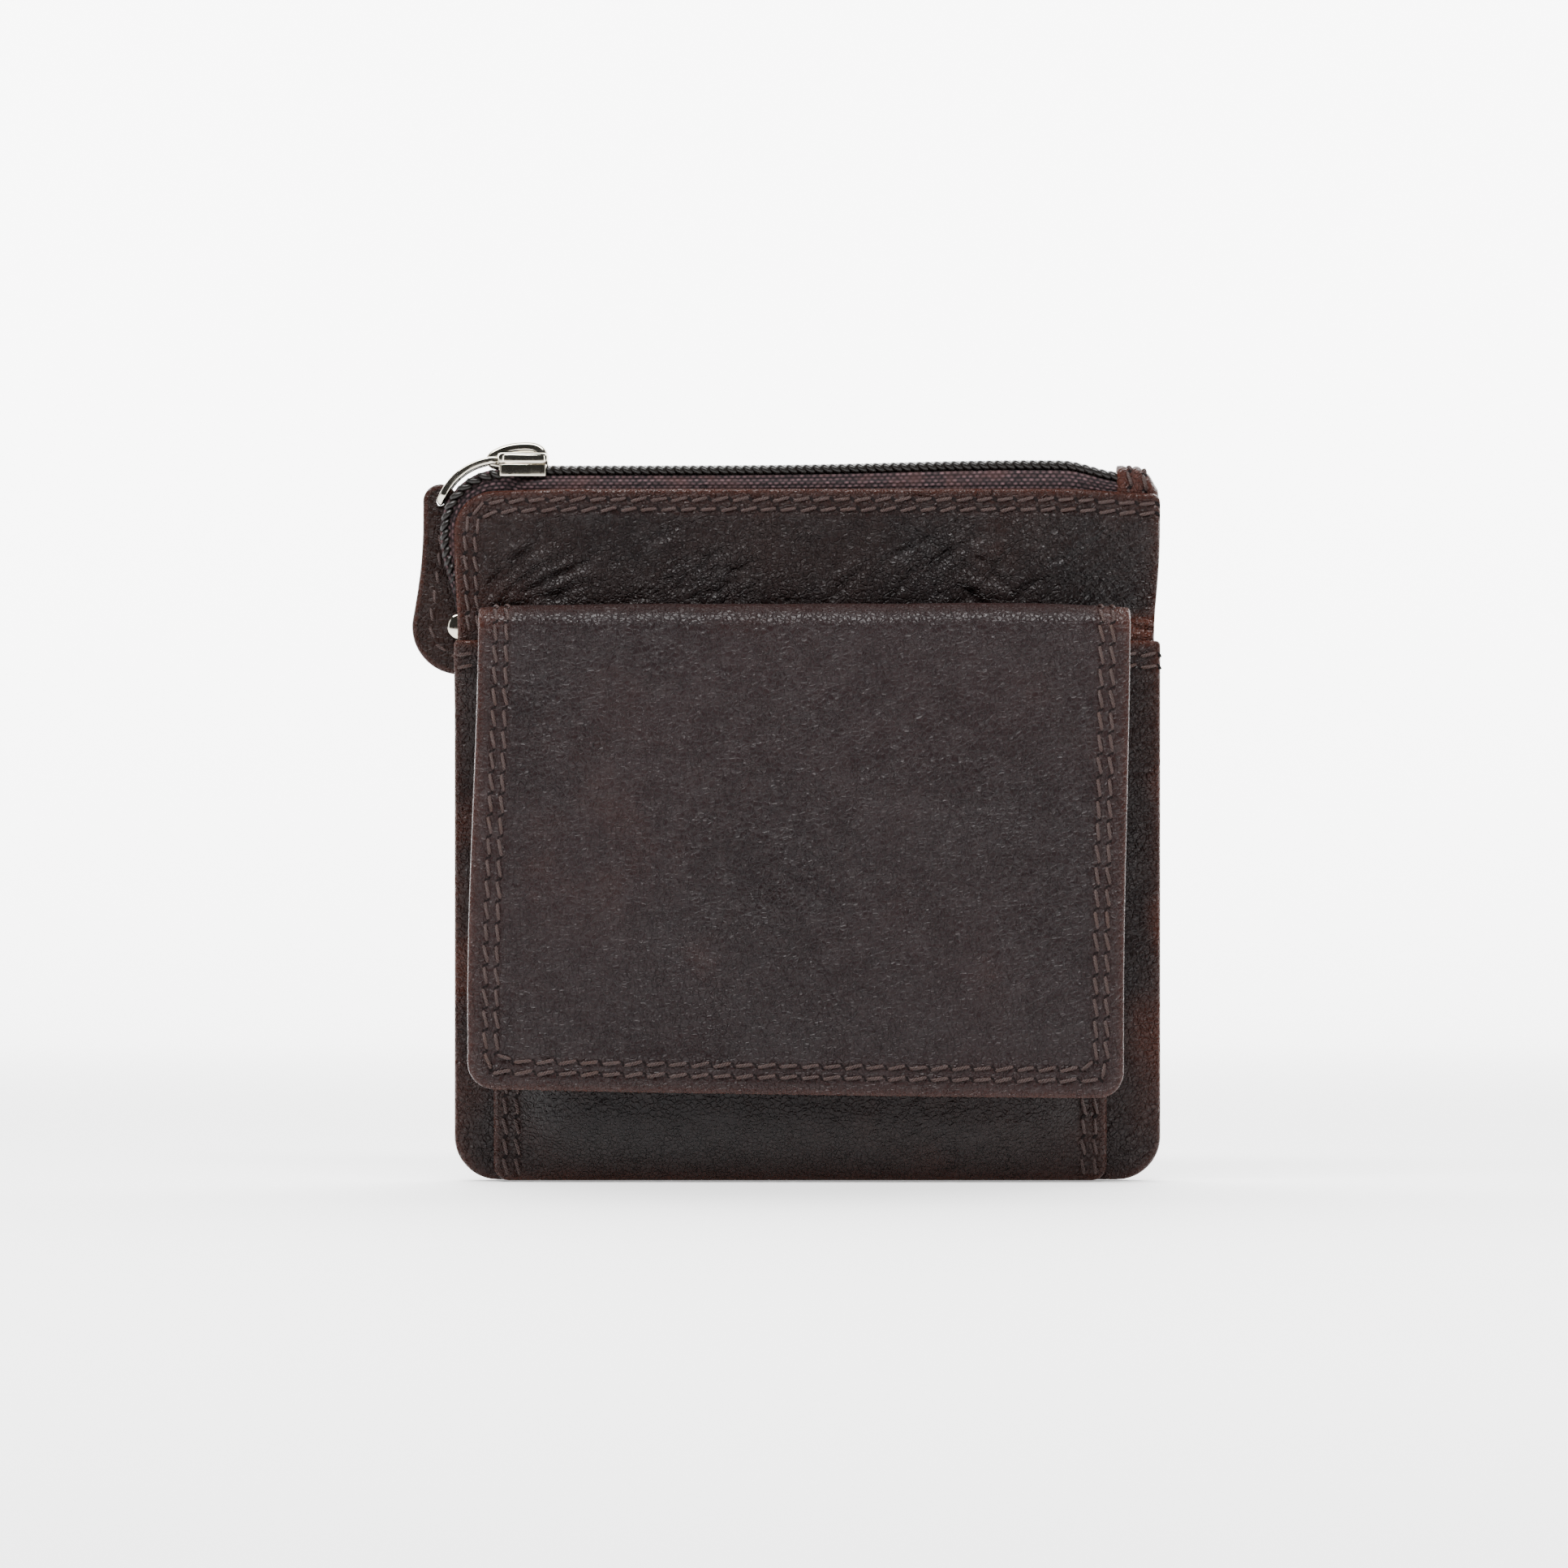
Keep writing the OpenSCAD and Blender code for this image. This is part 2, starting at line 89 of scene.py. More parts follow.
def creaseField(x, z, size, seed, stretch, angle, sharp=5.0):  # thin lines that cross and fade, 0 to 1
    warpX = x + 0.25 * size * waves(x, z, size * 1.7, seed + 50)
    line = 1 - np.abs(waves(warpX, z, size, seed, stretch, angle, 9))
    return np.clip(line, 0, 1) ** sharp


class Signal:  # a socket with arithmetic
    def __init__(self, graph, socket):
        self.graph = graph
        self.socket = socket

    def math(self, operation, *others):
        inputs = {i: v for i, v in enumerate((self,) + others)}
        return self.graph.node("ShaderNodeMath", {"operation": operation}, inputs)

    def __add__(self, other):
        return self.math("ADD", other)

    def __radd__(self, other):
        return self.math("ADD", other)

    def __sub__(self, other):
        return self.math("SUBTRACT", other)

    def __rsub__(self, other):
        return self.graph.node("ShaderNodeMath", {"operation": "SUBTRACT"}, {0: other, 1: self})

    def __mul__(self, other):
        return self.math("MULTIPLY", other)

    def __rmul__(self, other):
        return self.math("MULTIPLY", other)

    def __pow__(self, other):
        return self.math("POWER", other)

    def clamp(self):
        return self.graph.node("ShaderNodeClamp", {}, {"Value": self})


class Graph:  # one material's nodes
    def __init__(self, name):
        self.material = bpy.data.materials.new(name)
        self.material.use_nodes = True
        self.tree = self.material.node_tree
        self.tree.nodes.clear()
        self.place = self.node("ShaderNodeTexCoord", {}, {}, "Object")

    def node(self, kind, settings, inputs, output=0):
        made = self.tree.nodes.new(kind)
        for key, value in settings.items():
            if key == "stops":
                ramp = made.color_ramp
                for i, (at, color) in enumerate(value):
                    stop = ramp.elements[i] if i < 2 else ramp.elements.new(at)
                    stop.position = at
                    stop.color = (*color, 1)
            else:
                setattr(made, key, value)
        for key, value in inputs.items():
            if isinstance(value, Signal):
                self.tree.links.new(value.socket, made.inputs[key])
            elif isinstance(value, tuple) and len(value) == 3 and made.inputs[key].type == "RGBA":
                made.inputs[key].default_value = (*value, 1)
            else:
                made.inputs[key].default_value = value
        return Signal(self, made.outputs[output]) if len(made.outputs) else None

    def noise(self, scale, detail=3.0, rough=0.55, where=None):
        return self.node("ShaderNodeTexNoise", {}, {
            "Vector": where or self.place, "Scale": scale, "Detail": detail, "Roughness": rough})

    def mix(self, factor, a, b, blend="MIX"):
        return self.node("ShaderNodeMix", {"data_type": "RGBA", "blend_type": blend},
                         {0: factor, 6: a, 7: b}, 2)

    def mask(self, value, low, high):
        return self.node("ShaderNodeMapRange", {"interpolation_type": "SMOOTHSTEP"},
                         {0: value, 1: low, 2: high})

    def bump(self, height, distance, strength=1.0, under=None):
        inputs = {"Height": height, "Distance": distance, "Strength": strength}
        if under:
            inputs["Normal"] = under
        return self.node("ShaderNodeBump", {}, inputs)

    def finish(self, inputs):
        shader = self.node("ShaderNodeBsdfPrincipled", {}, inputs)
        self.node("ShaderNodeOutputMaterial", {}, {"Surface": shader})
        return self.material


def leatherMaterial(name, look):
    g = Graph(name)
    wearAndWeaveShading = g.node("ShaderNodeAttribute", {"attribute_name": "wearAndWeaveShading"}, {}, "Fac")
    cloud = g.noise(look["cloudScale"], 4.0, 0.6)
    fine = g.noise(900, 3.0, 0.6)
    redCloud = g.noise(look["cloudScale"] * 1.9, 5.0, 0.65)
    base = g.mix(g.mask(cloud, 0.30, 0.72), look["deep"], look["brown"])
    base = g.mix(g.mask(redCloud, 0.54, 0.78) * 0.28, base, look["red"])
    base = g.mix((wearAndWeaveShading + g.mask(redCloud, 0.3, 0.8) * 0.3 * wearAndWeaveShading).clamp(), base, look["worn"])
    base = g.mix(g.mask(fine, 0.3, 0.75) * 0.30, base, look["pale"])
    bend = g.noise(260, 2.0, 0.5)
    where = g.node("ShaderNodeVectorMath", {"operation": "MULTIPLY_ADD"},
                   {0: g.node("ShaderNodeVectorMath", {"operation": "SUBTRACT"},
                              {0: g.node("ShaderNodeTexNoise", {}, {"Vector": g.place, "Scale": 420.0}, 1),
                               1: (0.5, 0.5, 0.5)}),
                    1: (0.0011, 0.0011, 0.0011), 2: g.place})
    pebble = g.node("ShaderNodeTexVoronoi", {"feature": "DISTANCE_TO_EDGE"},
                    {"Vector": where, "Scale": look["grainScale"]})
    pits = g.node("ShaderNodeTexVoronoi", {"feature": "F1"},
                  {"Vector": where, "Scale": look["grainScale"] * 2.3})
    groove = g.mask(pebble, 0.0, 0.16)
    strength = g.mask(bend, 0.25, 0.75) * 0.6 + 0.4
    turned = g.node("ShaderNodeMapping", {"vector_type": "TEXTURE"},
                    {"Vector": g.place, "Rotation": (0, -0.6, 0), "Scale": (2.1, 1, 0.9)})
    folds = g.noise(150, 3.0, 0.55, turned)
    cracks = g.noise(430, 3.0, 0.6, g.place)
    here = g.mask(g.noise(55, 2.0, 0.5), 0.42, 0.62)
    lines = g.mask((folds - 0.5).math("ABSOLUTE"), 0.0, 0.055)
    fineLines = g.mask((cracks - 0.5).math("ABSOLUTE"), 0.0, 0.06)
    normal = g.bump(lines * here * look["crease"], 0.00028, 0.8)
    normal = g.bump(fineLines * (here * 0.8 + 0.2) * look["crease"], 0.00011, 0.7, normal)
    normal = g.bump(groove * strength, look["grainDepth"], 0.8, normal)
    normal = g.bump(pits, look["grainDepth"] * 0.5, 0.45, normal)
    normal = g.bump(fine, look["grainDepth"] * 0.5, 0.5, normal)
    rough = look["rough"] + (cloud - 0.5) * 0.22 - wearAndWeaveShading * 0.10 + (1 - groove) * 0.12
    return g.finish({"Base Color": base, "Roughness": rough, "Normal": normal,
                     "Specular IOR Level": look["gloss"]})


leatherLook = {
    "deep": (0.0036, 0.0026, 0.0028), "brown": (0.0080, 0.0041, 0.0037), "red": (0.022, 0.0062, 0.0036),
    "worn": (0.037, 0.0105, 0.0062), "pale": (0.015, 0.0090, 0.0082), "cloudScale": 38.0,
    "grainScale": 1350.0, "grainDepth": 0.00028, "rough": 0.32, "gloss": 0.15, "crease": 1.2,
}
plumLook = dict(leatherLook, deep=(0.0056, 0.0029, 0.0033), brown=(0.0088, 0.0040, 0.0044),
                pale=(0.017, 0.0100, 0.0098), cloudScale=30.0, rough=0.32, gloss=0.19,
                grainDepth=0.00024, crease=0.35)
insideLook = dict(leatherLook, deep=(0.017, 0.011, 0.009), brown=(0.030, 0.018, 0.014),
                  rough=0.78, gloss=0.15)
tabLook = dict(leatherLook, deep=(0.0036, 0.0018, 0.0015), brown=(0.0075, 0.0030, 0.0021),
               cloudScale=60.0, crease=0.4)
edgeTabLook = dict(leatherLook, deep=(0.036, 0.0150, 0.0125), brown=(0.068, 0.0290, 0.0240),
                   cloudScale=90.0, crease=0.3)


def clothMaterial(name, dark, light, thread, rough=0.85, depth=0.0001):
    g = Graph(name)
    yarn = {"Vector": g.place, "Scale": thread, "Distortion": 1.5}
    rows = g.node("ShaderNodeTexWave", {"bands_direction": "X"}, yarn)
    cols = g.node("ShaderNodeTexWave", {"bands_direction": "Z"}, yarn)
    fibre = g.noise(2600, 4.0, 0.7)
    weave = rows * cols
    base = g.mix((weave * 0.7 + fibre * 0.4).clamp(), dark, light)
    return g.finish({"Base Color": base, "Roughness": rough + (fibre - 0.5) * 0.1,
                     "Normal": g.bump(weave + fibre * 0.4, depth, 0.7), "Sheen Weight": 0.25})


def tapeMaterial(name):
    g = Graph(name)
    raised = g.node("ShaderNodeAttribute", {"attribute_name": "wearAndWeaveShading"}, {}, "Fac")
    fibre = g.noise(3800, 4.0, 0.7)
    patch = g.noise(240, 3.0, 0.6)
    # painted light: the tape's raised knots are painted lighter as a highlight and the gaps between them
    # darker as shade
    shade = (raised ** 2.0 + (fibre - 0.5) * 0.5).clamp()
    base = g.mix(shade, (0.0020, 0.0010, 0.0013), (0.090, 0.053, 0.058))
    base = g.mix(g.mask(patch, 0.45, 0.75) * 0.3, base, (0.060, 0.025, 0.022))
    return g.finish({"Base Color": base, "Roughness": 0.72 + (fibre - 0.5) * 0.2,
                     "Normal": g.bump(fibre, 0.00006, 0.7), "Specular IOR Level": 0.15})


def coilMaterial(name):
    g = Graph(name)
    streak = g.noise(1500, 3.0, 0.6)
    base = g.mix(streak, (0.0020, 0.0014, 0.0012), (0.0065, 0.0044, 0.0034))
    return g.finish({"Base Color": base, "Roughness": 0.26 + streak * 0.12,
                     "Normal": g.bump(streak, 0.00002, 0.4), "Specular IOR Level": 0.26})


def nickelMaterial(name, tone=(0.60, 0.56, 0.47), rough=0.09):
    g = Graph(name)
    smear = g.noise(420, 4.0, 0.6)
    scratch = g.noise(160, 5.0, 0.8)
    base = g.mix(g.mask(smear, 0.35, 0.8) * 0.4, tone, (0.36, 0.31, 0.23))
    return g.finish({"Base Color": base, "Metallic": 1.0,
                     "Roughness": rough + g.mask(scratch, 0.4, 0.8) * 0.16,
                     "Normal": g.bump(scratch, 0.00003, 0.25)})


def threadMaterial(name):
    g = Graph(name)
    fibre = g.noise(3200, 4.0, 0.7)
    patch = g.noise(160, 3.0, 0.6)
    base = g.mix(fibre, (0.0070, 0.0036, 0.0031), (0.066, 0.0390, 0.0345))
    base = g.mix(g.mask(patch, 0.5, 0.75) * 0.4, base, (0.044, 0.020, 0.012))
    return g.finish({"Base Color": base, "Roughness": 0.42 + (fibre - 0.5) * 0.2,
                     "Normal": g.bump(fibre, 0.00003, 0.6), "Specular IOR Level": 0.3})


# painted shade: a dark matte filler that stands in for the shade inside each needle hole, with a slight
# random variation in its darkness
def holeShadeMaterial(name):
    g = Graph(name)
    shadeVariation = g.noise(1800, 3.0, 0.6)
    return g.finish({"Base Color": g.mix(shadeVariation, (0.0030, 0.0022, 0.0022), (0.008, 0.005, 0.005)),
                     "Roughness": 0.8 + shadeVariation * 0.15, "Specular IOR Level": 0.1})


leather = leatherMaterial("panelLeather", leatherLook)
plumLeather = leatherMaterial("flapLeather", plumLook)
insideLeather = leatherMaterial("insideLeather", insideLook)
pullLeather = leatherMaterial("pullLeather", tabLook)
redLeather = leatherMaterial("endTabLeather", edgeTabLook)
liningCloth = clothMaterial("liningCloth", (0.045, 0.030, 0.026), (0.11, 0.078, 0.068), 420.0)
zipTape = tapeMaterial("zipTape")
zipCoil = coilMaterial("zipCoil")
nickel = nickelMaterial("nickel")
steel = nickelMaterial("plainSteel", (0.45, 0.45, 0.46), 0.3)
thread = threadMaterial("waxedThread")
needleHoleShade = holeShadeMaterial("needleHoleShade")
print("materials ready")

def addPiece(name, points, faces, material, body, replaced=(), wearAndWeaveShading=None, smoothFaces=True):
    mesh = bpy.data.meshes.new(name)
    mesh.from_pydata((np.asarray(points, float).reshape(-1, 3) * mm + origin).tolist(), [], faces)
    mesh.validate()
    if wearAndWeaveShading is not None:
        layer = mesh.attributes.new("wearAndWeaveShading", "FLOAT", "POINT")
        layer.data.foreach_set("value", np.asarray(wearAndWeaveShading, np.float32).ravel())
    if smoothFaces:
        mesh.shade_smooth()
    mesh.materials.append(material)
    piece = bpy.data.objects.new(name, mesh)
    bpy.context.scene.collection.objects.link(piece)
    if body:
        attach(piece, body)
    if replaced:
        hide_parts(*replaced)
    return piece


def spread(length, step, fine=0.09):  # places along an edge, close together at both ends
    ends, gap = [0.0], fine
    while gap < step and ends[-1] < length / 3:
        ends.append(ends[-1] + gap)
        gap *= 1.33
    inner = length - 2 * ends[-1]
    middle = np.linspace(ends[-1], ends[-1] + inner, max(int(inner / step), 2) + 1)[1:-1]
    return np.concatenate((ends, middle, length - np.array(ends[::-1])))


def cornerInset(z, r):  # how far a round corner pulls in at a height z above its end
    return r - np.sqrt(np.clip(r * r - np.clip(r - z, 0, r) ** 2, 0, None)) if r > 0 else np.zeros_like(z)


def edgeDistance(box, x, z):  # inward distance from a rounded outline, corners in the order bl br tr tl
    x0, x1, z0, z1, radii = box
    low, right = z < (z0 + z1) / 2, x > (x0 + x1) / 2
    r = np.where(low, np.where(right, radii[1], radii[0]), np.where(right, radii[2], radii[3]))
    qx = np.abs(x - (x0 + x1) / 2) - (x1 - x0) / 2 + r
    qz = np.abs(z - (z0 + z1) / 2) - (z1 - z0) / 2 + r
    return r - np.minimum(np.maximum(qx, qz), 0) - np.hypot(np.maximum(qx, 0), np.maximum(qz, 0))


def gridFaces(rows, cols, start=0, flip=False):
    i, j = np.meshgrid(np.arange(rows - 1), np.arange(cols - 1), indexing="ij")
    a = start + i * cols + j
    quads = np.stack((a, a + 1, a + cols + 1, a + cols), -1).reshape(-1, 4)
    return (quads[:, ::-1] if flip else quads).tolist()


def rimFaces(rows, cols, flip=False):  # closes the edge between a front grid and the back grid after it
    rim = [(0, j) for j in range(cols)] + [(i, cols - 1) for i in range(1, rows)]
    rim += [(rows - 1, j) for j in range(cols - 2, -1, -1)] + [(i, 0) for i in range(rows - 2, 0, -1)]
    ids = [i * cols + j for i, j in rim]
    quads = [(b, a, a + rows * cols, b + rows * cols) for a, b in zip(ids, ids[1:] + ids[:1])]
    return [quad[::-1] for quad in quads] if flip else quads


def sheet(name, box, thickness, place, relief, material, body, replaced=(), step=0.6,
          roll=0.55, wearOf=None):
    x0, x1, z0, z1, radii = box
    zs = z0 + spread(z1 - z0, step)
    us = spread(x1 - x0, step) / (x1 - x0)
    left = x0 + cornerInset(zs - z0, radii[0]) + cornerInset(z1 - zs, radii[3])
    right = x1 - cornerInset(zs - z0, radii[1]) - cornerInset(z1 - zs, radii[2])
    x = left[:, None] + (right - left)[:, None] * us[None, :]
    z = np.repeat(zs[:, None], len(us), 1)
    d = np.clip(edgeDistance(box, x, z), 0, None)
    edgeDrop = 1 - np.sqrt(np.clip(1 - (1 - np.clip(d / roll, 0, 1)) ** 2, 0, 1))
    bumps = relief(x, z, d)
    front = place(x, z, thickness - edgeDrop * min(roll, thickness / 2) + bumps * smooth(d / 0.5))
    back = place(x, z, edgeDrop * min(roll, thickness / 2))
    rows, cols = x.shape
    faces = gridFaces(rows, cols) + gridFaces(rows, cols, rows * cols, True)
    faces += rimFaces(rows, cols)
    edge = np.exp(-d / 0.55) * 0.55 + np.exp(-d / 2.2) * 0.18
    wearAndWeaveShading = edge + (wearOf(x, z, d) if wearOf is not None else 0)
    points = np.concatenate((front.reshape(-1, 3), back.reshape(-1, 3)))
    wearAndWeaveShading = np.concatenate((np.clip(wearAndWeaveShading, 0, 1).ravel(), np.clip(edge, 0, 1).ravel()))
    return addPiece(name, points, faces, material, body, replaced, wearAndWeaveShading)


def tube(points, frames, section):  # sweeps a closed section along points; frames hold side and up
    points, section = np.asarray(points, float), np.asarray(section, float)
    side, up = frames
    return (points[:, None, :] + section[None, :, 0:1] * side[:, None, :]
            + section[None, :, 1:2] * up[:, None, :])


def tubeFaces(rings, sides, start=0, closed=False):
    faces = []
    for i in range(rings if closed else rings - 1):
        a, b = start + i * sides, start + (i + 1) % rings * sides
        for j in range(sides):
            k = (j + 1) % sides
            faces.append((a + j, a + k, b + k, b + j))
    if not closed:
        faces.append(tuple(start + j for j in range(sides - 1, -1, -1)))
        faces.append(tuple(start + (rings - 1) * sides + j for j in range(sides)))
    return faces


def curveFrames(points, guide=(0, 1, 0)):  # a side and an up vector at each point
    points = np.asarray(points, float)
    run = np.gradient(points, axis=0)
    run /= np.linalg.norm(run, axis=1)[:, None]
    side = np.asarray(guide, float) - run * (run @ np.asarray(guide, float))[:, None]
    side /= np.linalg.norm(side, axis=1)[:, None]
    return side, np.cross(run, side)


def ellipse(a, b, count):
    t = np.arange(count) * math.tau / count
    return np.stack((a * np.cos(t), b * np.sin(t)), -1)


def roundedSection(w, h, r, per=4):
    points = []
    for cx, cz, start in ((1, 1, 0), (-1, 1, 1), (-1, -1, 2), (1, -1, 3)):
        for k in range(per):
            t = (start + k / (per - 1)) * math.pi / 2
            points.append((cx * (w / 2 - r) + r * math.cos(t), cz * (h / 2 - r) + r * math.sin(t)))
    return np.array(points)


def smoothPath(points, count):  # a smooth curve through listed points
    points = np.asarray(points, float)
    padded = np.concatenate((points[:1] * 2 - points[1:2], points, points[-1:] * 2 - points[-2:-1]))
    out = []
    for t in np.linspace(0, len(points) - 1 - 1e-9, count):
        i, f = int(t), t - int(t)
        a, b, c, d = padded[i:i + 4]
        bend, twist = 2 * a - 5 * b + 4 * c - d, 3 * b - a - 3 * c + d
        out.append(0.5 * (2 * b + (c - a) * f + bend * f * f + twist * f ** 3))
    return np.array(out)


layers = {  # depths in front of the zip plane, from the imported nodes
    "body": -local("front_panel")[0][1],
    "pocketBack": -local("pocket_back")[0][1],
    "pocket": -local("pocket_front")[0][1],
    "flap": -local("flap_outer")[0][1],
}
slipTop = local("slip_pocket")[1][2]
body = {"edge": 1.75, "rim": 4.55, "taper": 17.0, "bottomTaper": 15.0, "leather": 1.3, "cornerRise": 1.25,
        "openFrom": 84, "openRun": 19, "cornerRun": 16, "leftFlatFrom": 68, "leftFlatRun": 14}


def bodyDepth(x, z):  # half the pouch's thickness: pillow shaped, gaping where the zip is open
    right = smooth((halfWidth - x) / body["taper"]) ** 0.8
    left = smooth((x + halfWidth) / body["taper"]) ** 0.8
    left = lerp(left, 1.0, smooth((z - body["leftFlatFrom"]) / body["leftFlatRun"]))
    bottom = smooth(z / body["bottomTaper"]) ** 0.7
    depth = body["edge"] + (layers["body"] - 0.12 - body["edge"]) * right * left * bottom
    openEdge = smooth((z - body["openFrom"]) / body["openRun"]) * (layers["body"] - body["rim"])
    least = body["edge"] - 0.05 + body["cornerRise"] * smooth((z - body["openFrom"]) / body["cornerRun"])
    return np.maximum(depth - openEdge, least)


upperEdge = {"pinchHeight": 81, "pinchSpan": 8.5, "leftIn": 0.55, "rightIn": 0.85, "leftDrop": 0.40,
             "rightDrop": 0.65}


def pinch(x, z):  # the upper panel's sides draw in just above the slip pocket
    near = np.exp(-((z - upperEdge["pinchHeight"]) / upperEdge["pinchSpan"]) ** 2)
    return near * (upperEdge["leftIn"] * smooth((-x - 40) / 12)
                   - upperEdge["rightIn"] * smooth((x - 42) / 10))


def droop(x, z):  # the top edge sinks a little at both ends
    ends = upperEdge["rightDrop"] * smooth((x - 38) / 14) + upperEdge["leftDrop"] * smooth((-x - 34) / 18)
    return ends * smooth((z - 86) / 17)


def panelPlace(side, base, draw=0.0):  # side is -1 in front of the zip plane and 1 behind it
    def place(x, z, n):
        return np.stack((x + draw * pinch(x, z), side * (base(x, z) + n), z - draw * droop(x, z)), -1)
    return place


def rowGroove(distance, depth=0.17, width=0.42):  # leather drawn down along a stitched row
    lips = depth * 0.35 * np.exp(-((np.abs(distance) - 1.0) / 0.5) ** 2)
    return -depth * np.exp(-(distance / width) ** 2) + lips


zipRows = {"first": 1.6, "second": 3.1, "end": 81.5, "pitch": 3.0}
panelBox = (-halfWidth, halfWidth, 0.0, panelTop, (6.5, 6.5, 1.3, 6.0))
# only the top and left edges of this one count
zipSideBox = (-halfWidth, halfWidth + 40, -60.0, panelTop, (0.1, 0.1, 0.1, 6.0))


def zipRowMask(z):
    return smooth((z - zipRows["end"] + 1) / 2)


def zipGrooves(x, z):  # distance from the zip side's edges, and the leather drawn down along both rows
    side = edgeDistance(zipSideBox, x, z)
    return side, (rowGroove(side - zipRows["first"]) + rowGroove(side - zipRows["second"])) * zipRowMask(z)


panelCreases = {
    "root": (-50.0, 83.5), "fanAngles": (0.10, 0.27, 0.44, 0.62, 0.86, 1.12),
    "fanReach": (13, 17, 21, 15, 17, 11), "fanDeep": 0.60,
    "rightRoot": (45.0, 83.6), "rightStep": 2.0, "rightDeep": 0.75, "crossDeep": 0.55,
}


def crossedDips(x, z, lines):  # straight-ish folds: each a middle, an angle, a half length and a depth
    total = 0 * x
    for middleAtX, middleAtZ, angle, reach, deep in lines:
        along = (x - middleAtX) * math.cos(angle) + (z - middleAtZ) * math.sin(angle)
        off = (z - middleAtZ) * math.cos(angle) - (x - middleAtX) * math.sin(angle)
        off = off + 0.45 * waves(x, z, 7.0, int(middleAtX * 7) % 97) + 0.02 * along ** 2 / reach * 3
        total += deep * np.exp(-(off / 0.7) ** 2) * np.exp(-(along / reach) ** 2)
        total -= deep * 0.5 * np.exp(-((off - 1.3) / 0.8) ** 2) * np.exp(-(along / reach) ** 2)
    return total


def panelFolds(x, z):
    look = panelCreases
    dx, dz = x - look["root"][0], z - look["root"][1]
    r, a = np.hypot(dx, dz), np.arctan2(dz, dx)
    dips = 0 * x
    for angle, reach in zip(look["fanAngles"], look["fanReach"]):
        off = r * np.sin(a - angle) + 0.5 * waves(x, z, 9.0, int(angle * 100))
        fade = np.exp(-((r - reach * 0.62) / (reach * 0.42)) ** 2) * (np.cos(a - angle) > 0)
        dips += np.exp(-(off / 0.75) ** 2) * fade - 0.5 * np.exp(-((off - 1.4) / 0.9) ** 2) * fade
    dips = dips * look["fanDeep"]
    spreadOut = smooth((x - look["rightRoot"][0]) / 7.5)
    for k in range(4):
        line = look["rightRoot"][1] + (k - 0.9) * look["rightStep"] * spreadOut
        line = line + 0.10 * (x - 50) - 0.12 * k * spreadOut
        off = z - line + 0.25 * waves(x, z, 4.0, 40 + k)
        dips += look["rightDeep"] * spreadOut * np.exp(-(off / 0.45) ** 2) * (1 - 0.16 * k)
    rng = np.random.default_rng(17)
    lines = [(rng.uniform(6, 38), rng.uniform(86, 97), rng.choice((0.75, 0.6, -0.5)) + rng.uniform(-0.2, 0.2),
              rng.uniform(2.5, 7), look["crossDeep"] * rng.uniform(0.4, 1)) for k in range(13)]
    lines += [(rng.uniform(-44, -8), rng.uniform(85, 98), rng.uniform(0.2, 1.0), rng.uniform(2, 5),
               look["crossDeep"] * rng.uniform(0.25, 0.6)) for k in range(9)]
    return dips + crossedDips(x, z, lines)


def frontRelief(x, z, d):
    side, rows = zipGrooves(x, z)
    broad = waves(x, z, 26, 5) * 0.16 + waves(x, z, 9, 6) * 0.035
    return rows + (broad - panelFolds(x, z) * smooth((z - 79) / 3)) * smooth((side - 3.6) / 1.5)


def frontWear(x, z, d):
    side = edgeDistance(zipSideBox, x, z)
    rub = smooth(1.1 - np.hypot((x - 50.5) / 5, (z - 82.2) / 3)) * 1.0
    fan = smooth(1.15 - np.hypot((x + 46) / 8, (z - 86) / 6)) * 0.18
    rows = np.exp(-((side - zipRows["first"]) / 0.6) ** 2) + np.exp(-((side - zipRows["second"]) / 0.6) ** 2)
    rim = np.exp(-np.clip(side, 0, None) / 0.8) * 0.25
    return rub + fan + rows * 0.10 * zipRowMask(z) + rim


innerFront = panelPlace(-1, lambda x, z: bodyDepth(x, z) - body["leather"], 1.0)
sheet("frontPanelLeather", panelBox, body["leather"], innerFront, frontRelief, leather, "pouch",
      ("front_panel",), 0.4, 0.6, frontWear)


def backRelief(x, z, d):
    side, rows = zipGrooves(x, z)
    worn = creaseField(x, z, 9.0, 31, 2.2, 0.5) * smooth(waves(x, z, 60, 33) + 0.2)
    return rows + (waves(x, z, 30, 34) * 0.08 - 0.08 * worn) * smooth((side - 3.6) / 1.5)


innerBack = panelPlace(1, lambda x, z: bodyDepth(x, z) - body["leather"], 1.0)
sheet("backPanelLeather", panelBox, body["leather"], innerBack, backRelief, leather, "pouch",
      ("back_panel",), 0.7, 0.6, lambda x, z, d: np.exp(-d / 3) * 0.15)

lining = {"inset": 3.2, "thick": 0.28, "top": 97.0}
liningBox = (-halfWidth + lining["inset"], halfWidth - lining["inset"], lining["inset"], lining["top"],
             (4, 4, 1, 4))


def liningRelief(x, z, d):
    return waves(x, z, 14, 41) * 0.05


for name, side in (("front", -1), ("back", 1)):
    base = panelPlace(side, lambda x, z: np.maximum(
        bodyDepth(x, z) - body["leather"] - lining["thick"] - 0.1, 0.1))
    sheet(name + "LiningCloth", liningBox, lining["thick"], base, liningRelief, liningCloth, "pouch",
          (name + "_lining",), 1.6, 0.12)
print("body leathers ready")

slip = {"thick": 1.2, "rows": (2.1, 3.9), "pitch": 3.0}
slipBox = (-halfWidth, halfWidth, 0.0, slipTop, (6.5, 6.5, 0.7, 0.7))


